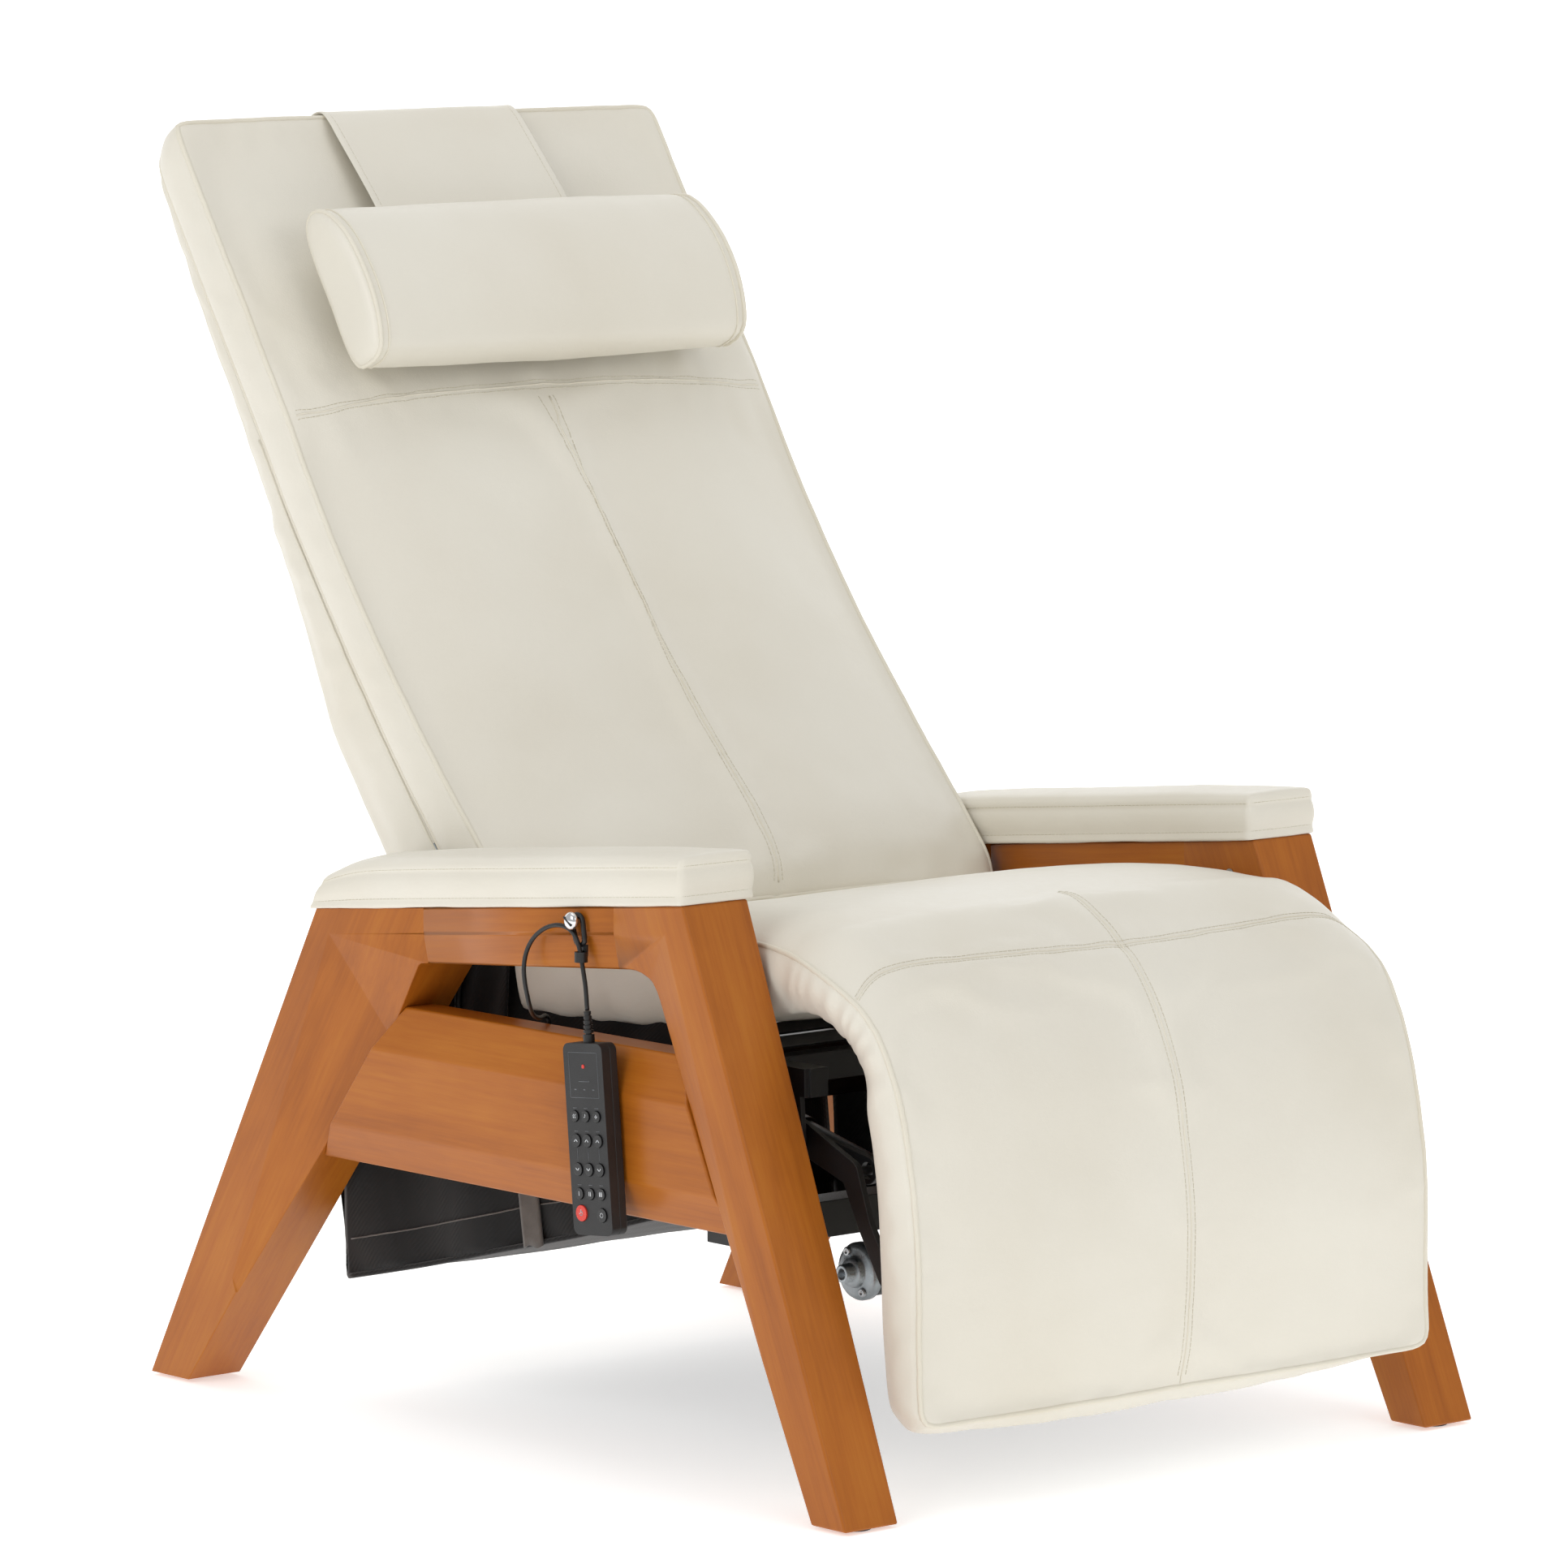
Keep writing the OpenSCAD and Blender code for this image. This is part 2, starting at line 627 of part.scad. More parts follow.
module remote_front_shell() {
    color(plastic) remote_placed() difference() {
        slab(remote_face, shell_split) remote_outline(0, 7);
        slab(remote_face + face_t, shell_split + 1) remote_outline(2, 5);
        for (b = BUTTONS) pin([b[1], -b[2]], b[3] + clear, remote_face - 1, remote_face + face_t + 1);
        pin(lamp_at, 1.8, remote_face - 1, remote_face + face_t + 1);
    }
}
module remote_back_shell() {
    color(plastic) remote_placed() difference() {
        slab(shell_split, remote_x) remote_outline(0, 7);
        slab(shell_split - 1, remote_x - 2) remote_outline(2, 5);
    }
}
module circuit_board() {
    color("darkgreen") remote_placed() slab(shell_split - 0.8, shell_split + 0.8) remote_outline(2.2, 4.8);
}
module status_lamp() {
    color("#d8352b") remote_placed() pin(lamp_at, 1.8, remote_face - 0.6, shell_split - 0.8);
}
module button(name) {
    b = [for (k = BUTTONS) if (k[0] == name) k][0];
    colour = name == "button_power" ? "#d8352b" : name == "button_zero" ? "#1d2a22" : "#1c1c1e";
    color(colour) remote_placed() {
        pin([b[1], -b[2]], b[3], remote_face - 1.3, remote_face + 4);
        pin([b[1], -b[2]], b[3] + 0.9, remote_face + face_t + 0.1, remote_face + face_t + 1);
    }
}
module strain_relief() {
    color(plastic) remote_placed() {
        translate([cord_x, 0, 0]) {
            cylinder(r = 5, h = 7);
            for (i = [0:4]) translate([0, 0, 7 + i * 4]) {
                cylinder(r = 2.8, h = 1.2);
                translate([0, 0, 1.2]) cylinder(r = 4.4 - i * 0.3, h = 2.8);
            }
        }
    }
}
// Rubber ring that the hand control hangs by, with a sleeve that grips the cord
module hanging_ring() {
    x = [-outer_x - 7.5, -outer_x - 4.5];
    hole = hook - [0, 2.3];
    low = hook - [3.5, 15];
    sleeve = [331.5, 452];
    color("#181818") placed() {
        difference() {
            slab(x[0], x[1]) ring_shape(hole, low, 8.6, 7.6);
            slab(x[0] - 1, x[1] + 1) ring_shape(hole, low, 5.6, 4.4);
        }
        difference() {
            union() {
                translate([cord_x, sleeve.x, sleeve.y]) cylinder(r = 5.8, h = 9);
                box([x[1] - 2, sleeve.x - 3, sleeve.y + 5], [x[1], sleeve.x + 6, sleeve.y + 15]);
            }
            translate([cord_x, sleeve.x, sleeve.y - 1]) cylinder(r = 3.9, h = 11);
        }
    }
}
module ring_shape(p, q, rp, rq) {
    d = unit(q - p);
    n = [-d.y, d.x];
    polygon([p + n * rp, p - n * rp, q - n * rq, q + n * rq]);
    translate(p) circle(r = rp);
    translate(q) circle(r = rq);
}

// ---- Cord from the hand control, over the rail and into the chair ----

cord_x = -outer_x - 10;
CORD = [
    [cord_x, 323.6, 410.8], [cord_x, 325.6, 430], [cord_x, 328.6, 444], [cord_x, 331.6, 456], [cord_x, 334, 464],
    [cord_x, 338, 472], [cord_x, 345, 478], [cord_x, 356, 481], [cord_x, 369, 480], [cord_x, 383, 475],
    [cord_x, 396, 466], [cord_x, 405, 454], [cord_x, 409, 440], [cord_x + 1, 409, 426], [cord_x + 4, 409, 413],
    [cord_x + 11, 414, 402], [cord_x + 22, 423, 394], [cord_x + 35, 433, 389], [cord_x + 48, 443, 387],
    [cord_x + 57, 449, 387], [cord_x + 64, 453, 382], [cord_x + 66.5, 454, 371], [cord_x + 66.5, 454, 354],
    [cord_x + 66.5, 454, 336]];
function spline(a, b, c, d, t) =
    0.5 * ((2 * b) + (c - a) * t + (2 * a - 5 * b + 4 * c - d) * t * t + (3 * b - a - 3 * c + d) * t * t * t);
function smooth_path(p, steps) =
    let (m = len(p))
    [for (i = [0:m - 2], k = [0:steps - 1])
        spline(p[max(i - 1, 0)], p[i], p[i + 1], p[min(i + 2, m - 1)], k / steps), p[m - 1]];
// A tube along a path, its rings square to the path
module sweep(path, r, sides) {
    m = len(path);
    along_path = [for (i = [0:m - 1]) unit(path[min(i + 1, m - 1)] - path[max(i - 1, 0)])];
    ref = [1, 0.35, 0.2];
    rings = [for (i = [0:m - 1])
        let (t = along_path[i], u = unit(cross(t, ref)), v = cross(t, u))
        [for (k = [0:sides - 1]) path[i] + r * (cos(360 * k / sides) * u + sin(360 * k / sides) * v)]];
    points = [for (ring = rings) each ring];
    walls = [for (i = [0:m - 2], k = [0:sides - 1])
        let (a = i * sides + k, b = i * sides + (k + 1) % sides) [a, a + sides, b + sides, b]];
    caps = [[for (k = [0:sides - 1]) k], [for (k = [sides - 1:-1:0]) (m - 1) * sides + k]];
    polyhedron(points, concat(walls, caps));
}
module remote_cord() {
    color("#161616") placed() sweep(smooth_path(CORD, 2), cord_d / 2, 8);
}

front_leg();  // front_leg_right
mirror([1, 0, 0]) front_leg();  // front_leg_left
rear_leg();  // rear_leg_right
mirror([1, 0, 0]) rear_leg();  // rear_leg_left
arm_beam();  // arm_beam_right
mirror([1, 0, 0]) arm_beam();  // arm_beam_left
side_rail();  // side_rail_right
mirror([1, 0, 0]) side_rail();  // side_rail_left
arm_pad();  // arm_pad_right
mirror([1, 0, 0]) arm_pad();  // arm_pad_left
foot_glides();
frame_bolts();
front_cross_tube();
rear_cross_tube();
pivot_brackets();
actuator_anchor_pin();
control_box();
power_inlet();
remote_hook();
dust_pouch();
remote_cord();
seat_frame();
seat_webbing();
seat_cushion();
pivot_pins();
back_frame();
back_board();
back_cushion();
back_cover();
massage_motors();
lever_pin();
pillow_strap();
head_pillow();
legrest_frame();
legrest_cushion();
legrest_links();
actuator_housing();
actuator_motor();
actuator_tube();
actuator_rod();
hanging_ring();
remote_front_shell();
remote_back_shell();
strain_relief();
status_lamp();
circuit_board();
for (b = BUTTONS)
    button(b[0]);
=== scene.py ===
"""Powered massage recliner: cream leather cushions on a honey-coloured frame, and a corded hand control."""

import json
import math

import bmesh
import bpy
from mathutils import Matrix, Vector, noise
from mathutils.bvhtree import BVHTree

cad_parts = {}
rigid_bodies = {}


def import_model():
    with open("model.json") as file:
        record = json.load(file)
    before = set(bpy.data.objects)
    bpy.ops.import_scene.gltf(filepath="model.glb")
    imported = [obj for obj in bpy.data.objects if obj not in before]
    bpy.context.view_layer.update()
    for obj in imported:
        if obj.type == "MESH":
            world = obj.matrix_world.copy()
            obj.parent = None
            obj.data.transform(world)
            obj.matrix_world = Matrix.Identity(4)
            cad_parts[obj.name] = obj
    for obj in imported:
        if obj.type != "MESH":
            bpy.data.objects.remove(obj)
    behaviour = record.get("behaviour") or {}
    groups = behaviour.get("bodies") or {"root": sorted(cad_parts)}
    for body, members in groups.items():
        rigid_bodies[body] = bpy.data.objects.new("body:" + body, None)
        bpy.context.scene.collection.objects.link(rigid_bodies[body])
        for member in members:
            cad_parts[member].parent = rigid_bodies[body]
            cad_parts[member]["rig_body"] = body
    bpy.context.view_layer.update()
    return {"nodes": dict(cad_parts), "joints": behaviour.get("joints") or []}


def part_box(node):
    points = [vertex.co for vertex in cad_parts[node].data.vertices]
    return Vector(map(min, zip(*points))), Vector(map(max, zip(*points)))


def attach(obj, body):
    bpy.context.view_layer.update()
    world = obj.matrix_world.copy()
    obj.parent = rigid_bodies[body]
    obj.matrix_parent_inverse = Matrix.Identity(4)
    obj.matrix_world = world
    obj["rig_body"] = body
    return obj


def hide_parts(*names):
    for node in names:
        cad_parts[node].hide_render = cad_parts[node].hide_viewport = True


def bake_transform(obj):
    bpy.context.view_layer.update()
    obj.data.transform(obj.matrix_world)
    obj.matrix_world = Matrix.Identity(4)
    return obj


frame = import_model()
JOINTS = {j["name"]: j for j in frame["joints"]}
MM = 0.001
SIDES = (("right", -1), ("left", 1))

# ---- Places taken from the frame, in millimetres: y from the front of the front feet, z from the floor ----

FRONT_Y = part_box("front_leg_right")[0].y
OUTER_X = -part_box("front_leg_right")[0].x / MM


def place(x, y, z):
    """A point of the side view, in millimetres, as a place in the frame."""
    return Vector((x * MM, FRONT_Y + y * MM, z * MM))


def joint_yz(name):
    at = JOINTS[name]["pos_m"]
    return (at[1] - FRONT_Y) / MM, at[2] / MM


KNEE = joint_yz("legrest_lift")
BACK_PIVOT = joint_yz("back_recline")
HOOK = joint_yz("remote_swing")
SLOPE = JOINTS["headrest_slide"]["axis"]
BACK_ANGLE = math.atan2(SLOPE[1], SLOPE[2])
# From the lower front edge of the back to its hinge: along y and z
BACK_FOOT = (BACK_PIVOT[0] - 43.5, BACK_PIVOT[1] + 55)


def on_back(x, y, z):
    """A point of the back's own view, upright from its lower front edge, as a place in the frame."""
    c, s = math.cos(BACK_ANGLE), math.sin(BACK_ANGLE)
    return place(x, BACK_FOOT[0] + y * c + z * s, BACK_FOOT[1] - y * s + z * c)


def between(a, b, t):
    return a + (b - a) * t


def smooth(t):
    t = max(0.0, min(1.0, t))
    return t * t * (3 - 2 * t)


def table_at(rows, x):
    """A smooth value from (x, value) rows: the slope at each row is that between its neighbours."""
    if x <= rows[0][0]:
        return rows[0][1]
    if x >= rows[-1][0]:
        return rows[-1][1]
    i = next(k for k in range(len(rows) - 1) if x <= rows[k + 1][0])
    (xa, va), (xb, vb) = rows[i], rows[i + 1]

    def slope(k):
        lo, hi = rows[max(k - 1, 0)], rows[min(k + 1, len(rows) - 1)]
        return (hi[1] - lo[1]) / (hi[0] - lo[0])

    w = xb - xa
    f = (x - xa) / w
    return (va * (1 + 2 * f) * (1 - f) ** 2 + w * slope(i) * f * (1 - f) ** 2
            + vb * f * f * (3 - 2 * f) + w * slope(i + 1) * f * f * (f - 1))


def through(a, b, c, d, f):
    """The place at f from b to c on a smooth curve through four points."""
    return 0.5 * (2 * b + (c - a) * f + (2 * a - 5 * b + 4 * c - d) * f * f
                  + (3 * b - a - 3 * c + d) * f ** 3)


def spline(points, t, closed=False):
    """A point on the smooth curve through the points, at t from 0 to 1, evenly spread over their number."""
    n = len(points) if closed else len(points) - 1
    s = (t % 1.0) * n if closed else max(0.0, min(n - 1e-9, t * n))
    i = int(s)
    four = [points[k % n if closed else max(0, min(n, k))] for k in (i - 1, i, i + 1, i + 2)]
    return [through(*values, s - i) for values in zip(*four)]


def square_to(points, t):
    """The unit vector square to the curve at t, in its y and z."""
    y2, z2 = spline(points, min(1.0, t + 0.01))[:2]
    y1, z1 = spline(points, max(0.0, t - 0.01))[:2]
    along = Vector((y2 - y1, z2 - z1)).normalized()
    return Vector((-along.y, along.x))


def sign_of(a):
    return -1 if a < 0 else 1


def corner(x, z, half, top, radius):
    """Squares the point off the rounded corner of the outline."""
    dx, dz = abs(x) - (half - radius), z - (top - radius)
    if dx > 0 and dz > 0:
        k = max(dx, dz) / math.hypot(dx, dz)
        return sign_of(x) * (half - radius + dx * k), top - radius + dz * k
    return x, z


def groove(distance, width=6.0, depth=2.6):
    return depth * math.exp(-(distance / width) ** 2)


# ---- Camera ----

CAMERA_AZIMUTH = math.radians(-41.16)
CAMERA_ELEVATION = math.radians(6.89)
CAMERA_AT = place(-5046, -5265, 1486)
CAMERA_LENS = 196.5


def make_camera():
    data = bpy.data.cameras.new("camera")
    data.sensor_width = 36
    data.lens = CAMERA_LENS
    data.clip_start = 0.1
    data.clip_end = 100
    camera = bpy.data.objects.new("camera", data)
    bpy.context.scene.collection.objects.link(camera)
    a, e = CAMERA_AZIMUTH, CAMERA_ELEVATION
    view = -Vector((math.sin(a) * math.cos(e), -math.cos(a) * math.cos(e), math.sin(e)))
    camera.location = CAMERA_AT
    camera.rotation_mode = "QUATERNION"
    camera.rotation_quaternion = view.to_track_quat("-Z", "Y")
    bpy.context.scene.camera = camera


make_camera()


# ---- Building helpers ----

def keep(bm, name):
    """The bmesh as a smooth-shaded object at the origin."""
    mesh = bpy.data.meshes.new(name)
    bm.to_mesh(mesh)
    bm.free()
    mesh.shade_smooth()
    piece = bpy.data.objects.new(name, mesh)
    bpy.context.scene.collection.objects.link(piece)
    return piece


def finish_piece(piece, body, slot, material, replaces=()):
    piece.data.materials.clear()
    piece.data.materials.append(material)
    if replaces:
        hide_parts(*replaces)
    if body:
        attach(piece, body)
    return piece


def outward(bm):
    bmesh.ops.recalc_face_normals(bm, faces=bm.faces)


def grid_block(counts):
    """A box from -1 to 1 each way, cut into that many steps along x, y and z."""
    bm = bmesh.new()
    bmesh.ops.create_cube(bm, size=2.0)
    for axis, count in enumerate(counts):
        along = [e for e in bm.edges if abs((e.verts[0].co - e.verts[1].co)[axis]) > 1e-6]
        if count > 1:
            bmesh.ops.subdivide_edges(bm, edges=along, cuts=count - 1, use_grid_fill=True)
    return bm


def shaped(bm, form):
    """Moves every vertex to form(its place in the block)."""
    for v in bm.verts:
        v.co = form(*v.co)
    outward(bm)
    return bm


def extrude_ring(bm, edges, ring):
    """Extrudes a loop of edges: its new edges, and its new vertices in the ring's order."""
    made = bmesh.ops.extrude_edge_only(bm, edges=edges)["geom"]
    verts = {g for g in made if isinstance(g, bmesh.types.BMVert)}
    follow = {e.other_vert(v): v for v in verts for e in v.link_edges if e.other_vert(v) not in verts}
    return [g for g in made if isinstance(g, bmesh.types.BMEdge)], [follow[v] for v in ring]


def tube(name, path, radius, sides=8, closed=False):
    """A round tube along a path: a ring of vertices extruded from point to point."""
    bm = bmesh.new()
    n = len(path)
    ring = bmesh.ops.create_circle(bm, cap_ends=False, segments=sides, radius=1.0)["verts"]
    disc = [v.co.copy() for v in ring]
    tangents = []
    for i in range(n):
        a = path[(i - 1) % n] if closed else path[max(i - 1, 0)]
        b = path[(i + 1) % n] if closed else path[min(i + 1, n - 1)]
        tangents.append((b - a).normalized())
    normal = tangents[0].orthogonal().normalized()
    frames = []
    for t in tangents:
        normal = (normal - t * normal.dot(t)).normalized()
        frames.append((normal.copy(), t.cross(normal)))
    twist = 0.0
    if closed:
        # the twist left over at the end of the ring is spread along it
        end = (normal - tangents[0] * normal.dot(tangents[0])).normalized()
        twist = math.atan2(end.dot(frames[0][1]), end.dot(frames[0][0]))
    first = ring
    edges = bm.edges[:]
    for i in range(n):
        if i:
            edges, ring = extrude_ring(bm, edges, ring)
        c, s = math.cos(-twist * i / n), math.sin(-twist * i / n)
        for v, d in zip(ring, disc):
            x, y = d.x * c - d.y * s, d.x * s + d.y * c
            v.co = path[i] + radius * (frames[i][0] * x + frames[i][1] * y)
    if closed:
        start = [e for e in bm.edges if all(v in first for v in e.verts)]
        bmesh.ops.bridge_loops(bm, edges=start + edges)
    else:
        for loop in (first, ring):
            bmesh.ops.contextual_create(bm, geom=loop)
    outward(bm)
    return keep(bm, name)


def even_path(points, step, closed=False):
    """Points along the smooth curve through the given ones, about a step apart."""
    ring = list(points)
    if closed:
        ring = ring[-2:] + ring + ring[:3]
    dense = []
    for i in range(1, len(ring) - 2) if closed else range(len(ring) - 1):
        four = [ring[max(0, min(len(ring) - 1, j))] for j in (i - 1, i, i + 1, i + 2)]
        dense += [through(*four, k / 8) for k in range(8)]
    if closed:
        dense = dense[8:8 * (len(points) + 1)]
        dense.append(dense[0])
    else:
        dense.append(ring[-1])
    total = sum((b - a).length for a, b in zip(dense, dense[1:]))
    count = max(2, round(total / step))
    out, want, done = [dense[0]], total / count, 0.0
    for a, b in zip(dense, dense[1:]):
        length = (b - a).length
        while length > 0 and done + length >= want * len(out) - 1e-9 and len(out) < count + 1:
            out.append(a.lerp(b, (want * len(out) - done) / length))
        done += length
    if closed:
        out = out[:count]
    return out


def surface_of(piece):
    bm = bmesh.new()
    bm.from_mesh(piece.data)
    tree = BVHTree.FromBMesh(bm)
    bm.free()
    return tree


def laid_on(tree, path, lift=0.0):
    """The path dropped on to a surface, with the surface's normals."""
    out = []
    for p in path:
        at, normal, _, _ = tree.find_nearest(p)
        out.append((at + normal * lift, normal))
    return out


STITCH = 5.0 * MM
STITCH_GAP = 1.1 * MM
THREAD_R = 0.42 * MM


def stitches(name, body, tree, rows, material, blend=None):
    """Sewing thread along each row of points laid on a surface: short flat-laid capsules, end to end."""
    bm = bmesh.new()
    for row in rows:
        laid = laid_on(tree, even_path(row, STITCH), THREAD_R * 0.3)
        for (a, na), (b, _) in zip(laid, laid[1:]):
            along = (b - a)
            if along.length < STITCH * 0.3:
                continue
            t = along.normalized()
            a2 = a + t * STITCH_GAP / 2
            b2 = b - t * STITCH_GAP / 2
            side = t.cross(na).normalized()
            up = side.cross(t)
            basis = Matrix((side, up, t)).transposed().to_4x4()
            basis.translation = (a2 + b2) / 2
            made = bmesh.ops.create_cube(bm, size=1.0)["verts"]
            size = Vector((2 * THREAD_R, 1.6 * THREAD_R, (b2 - a2).length))
            for v in made:
                v.co = basis @ Vector(v.co * size)
            ends = [f for f in {f for v in made for f in v.link_faces} if abs(f.calc_center_median().dot(t)
                    - basis.translation.dot(t)) > (b2 - a2).length * 0.4]
            for f in ends:
                centre = f.calc_center_median()
                for v in f.verts:
                    v.co = centre + (v.co - centre) * 0.55 - up * THREAD_R * 0.5
    piece = keep(bm, name)
    finish_piece(piece, None if blend else body, "cream_leather", material)
    if blend:
        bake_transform(piece)
    return piece


def sewn_down(counts, rule):
    """The hold on each vertex of a block: 1 where the rule says that its place is sewn, or else 0."""
    block = grid_block(counts)
    holds = [float(rule(v.co)) for v in block.verts]
    block.free()
    return holds


def cushion_sim(piece, holds, pressure, cap, frames=18, slack=0.006):
    """Blows the leather up over its filling, held at its seams, by up to cap in mm at any point."""
    start = [v.co.copy() for v in piece.data.vertices]
    group = piece.vertex_groups.new(name="sewn")
    for v, hold in zip(piece.data.vertices, holds):
        group.add([v.index], hold, "REPLACE")
    cloth = piece.modifiers.new("cloth", "CLOTH")
    settings = cloth.settings
    settings.quality = 4
    settings.mass = 0.35
    settings.tension_stiffness = 25
    settings.compression_stiffness = 18
    settings.shear_stiffness = 8
    settings.bending_stiffness = 1.2
    settings.use_pressure = True
    settings.uniform_pressure_force = pressure
    settings.shrink_min = -slack
    settings.vertex_group_mass = group.name
    settings.pin_stiffness = 1.0
    settings.effector_weights.gravity = 0
    cloth.collision_settings.use_collision = False
    cloth.collision_settings.use_self_collision = False
    scene = bpy.context.scene
    for f in range(1, frames + 1):
        scene.frame_set(f)
    graph = bpy.context.evaluated_depsgraph_get()
    blown = [v.co.copy() for v in piece.evaluated_get(graph).data.vertices]
    piece.modifiers.remove(cloth)
    scene.frame_set(1)
    for v, a, b in zip(piece.data.vertices, start, blown):
        move = b - a
        if move.length > cap * MM:
            move = move.normalized() * cap * MM
        v.co = a + move
    piece.vertex_groups.remove(group)


def ripple(piece, *waves, weight=None):
    """Leather lying over soft filling: slow noise, (mm, size, seed) a wave, and then smoothing."""
    for amount, size, seed in waves:
        normals = [v.normal.copy() for v in piece.data.vertices]
        for v, n in zip(piece.data.vertices, normals):
            w = weight(v.co) if weight else 1.0
            if w:
                v.co += n * amount * MM * w * noise.noise(v.co / size + Vector((seed, seed * 1.7, 3.1)))
    smoother = piece.modifiers.new("smooth", "SUBSURF")
    smoother.levels = smoother.render_levels = 1
    apply_modifiers(piece)


def apply_modifiers(piece):
    graph = bpy.context.evaluated_depsgraph_get()
    mesh = bpy.data.meshes.new_from_object(piece.evaluated_get(graph))
    piece.modifiers.clear()
    old = piece.data
    piece.data = mesh
    bpy.data.meshes.remove(old)


def softened(node, material, slot, width, segments=3, keep_sharp=None, name=None, limit=24, ridge=None):
    """A CAD node's shape with its hard edges rounded over, and shallow ones too if longer than ridge."""
    source = frame["nodes"][node]
    bm = bmesh.new()
    bm.from_mesh(source.data)
    bmesh.ops.remove_doubles(bm, verts=bm.verts, dist=0.00002)
    bmesh.ops.dissolve_limit(bm, angle_limit=math.radians(1.0), verts=bm.verts, edges=bm.edges)
    hard = [e for e in bm.edges if len(e.link_faces) == 2
            and (e.calc_face_angle(0) > math.radians(limit)
                 or (ridge and e.calc_length() > ridge * MM and e.calc_face_angle(0) > math.radians(5)))
            and not (keep_sharp and keep_sharp(e.verts[0].co, e.verts[1].co))]
    bmesh.ops.bevel(bm, geom=hard, offset=width * MM, offset_type="OFFSET", segments=segments, profile=0.5,
                    affect="EDGES", clamp_overlap=True, material=-1)
    outward(bm)
    piece = keep(bm, name or node.replace("_", "-"))
    flat = piece.modifiers.new("flat faces stay flat", "WEIGHTED_NORMAL")
    flat.keep_sharp = True
    return finish_piece(piece, source["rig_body"], slot, material, [node])


# ---- Materials ----

def linear(code):
    """An sRGB hex colour as linear RGBA."""
    parts = [int(code[i:i + 2], 16) / 255 for i in (1, 3, 5)]
    return [p / 12.92 if p <= 0.04045 else ((p + 0.055) / 1.055) ** 2.4 for p in parts] + [1.0]


def material(name, **sockets):
    made = bpy.data.materials.new(name)
    made.use_nodes = True
    shader = made.node_tree.nodes["Principled BSDF"]
    for key, value in sockets.items():
        shader.inputs[key.replace("_", " ")].default_value = value
    return made, shader


def add(mat, kind, links, **settings):
    """One node: its settings, its inputs as values or as other nodes' outputs."""
    node = mat.node_tree.nodes.new(kind)
    for key, value in settings.items():
        setattr(node, key, value)
    for key, value in links.items():
        if isinstance(value, bpy.types.NodeSocket):
            mat.node_tree.links.new(value, node.inputs[key])
        else:
            node.inputs[key].default_value = value
    return node


def wire(mat, shader, **sources):
    """Feeds sockets of the shader from other nodes."""
    for key, source in sources.items():
        mat.node_tree.links.new(source, shader.inputs[key.replace("_", " ")])


def object_place(mat):
    return add(mat, "ShaderNodeTexCoord", {}).outputs["Object"]


def cloud(mat, vector, scale, detail, roughness=0.5, distortion=0.0):
    return add(mat, "ShaderNodeTexNoise", {"Vector": vector, "Scale": scale, "Detail": detail,
                                           "Roughness": roughness, "Distortion": distortion}).outputs["Fac"]


def spread(mat, value, low, high, start=0.3, end=0.7):
    return add(mat, "ShaderNodeMapRange", {"Value": value, "From Min": start, "From Max": end,
                                           "To Min": low, "To Max": high}).outputs["Result"]


def relief(mat, height, strength, distance, under=None):
    links = {"Strength": strength, "Distance": distance, "Height": height}
    if under:
        links["Normal"] = under
    return add(mat, "ShaderNodeBump", links).outputs["Normal"]


def ramp(mat, factor, stops):
    node = add(mat, "ShaderNodeValToRGB", {"Fac": factor})
    band = node.color_ramp
    while len(band.elements) < len(stops):
        band.elements.new(0.5)
    for element, (at, colour) in zip(band.elements, stops):
        element.position = at
        element.color = colour if not isinstance(colour, str) else linear(colour)
    return node.outputs["Color"]


def leather(name, light, mid, shade, grain=1.6, rough=0.42):
    """Corrected-grain leather: a fine pebble, soft creases and a faint mottling under a satin topcoat."""
    mat, shader = material(name, Roughness=rough, Specular_IOR_Level=0.42, Coat_Weight=0.10,
                           Coat_Roughness=0.35, Sheen_Weight=0.06)
    here = object_place(mat)
    colour = ramp(mat, cloud(mat, here, 4.0, 3.0), [(0.25, shade), (0.50, mid), (0.78, light)])
    # The real pebble is about 0.8 mm; it is drawn at twice that so that it shows
    pebble = add(mat, "ShaderNodeTexVoronoi", {"Vector": here, "Scale": 1000 / grain}, feature="F1")
    crease = cloud(mat, here, 95.0, 6.0, 0.6)
    fine = relief(mat, pebble.outputs["Distance"], 0.16, 0.0004)
    wire(mat, shader, Base_Color=colour, Normal=relief(mat, crease, 0.22, 0.0012, fine),
         Roughness=spread(mat, crease, rough - 0.05, rough + 0.07))
    return mat


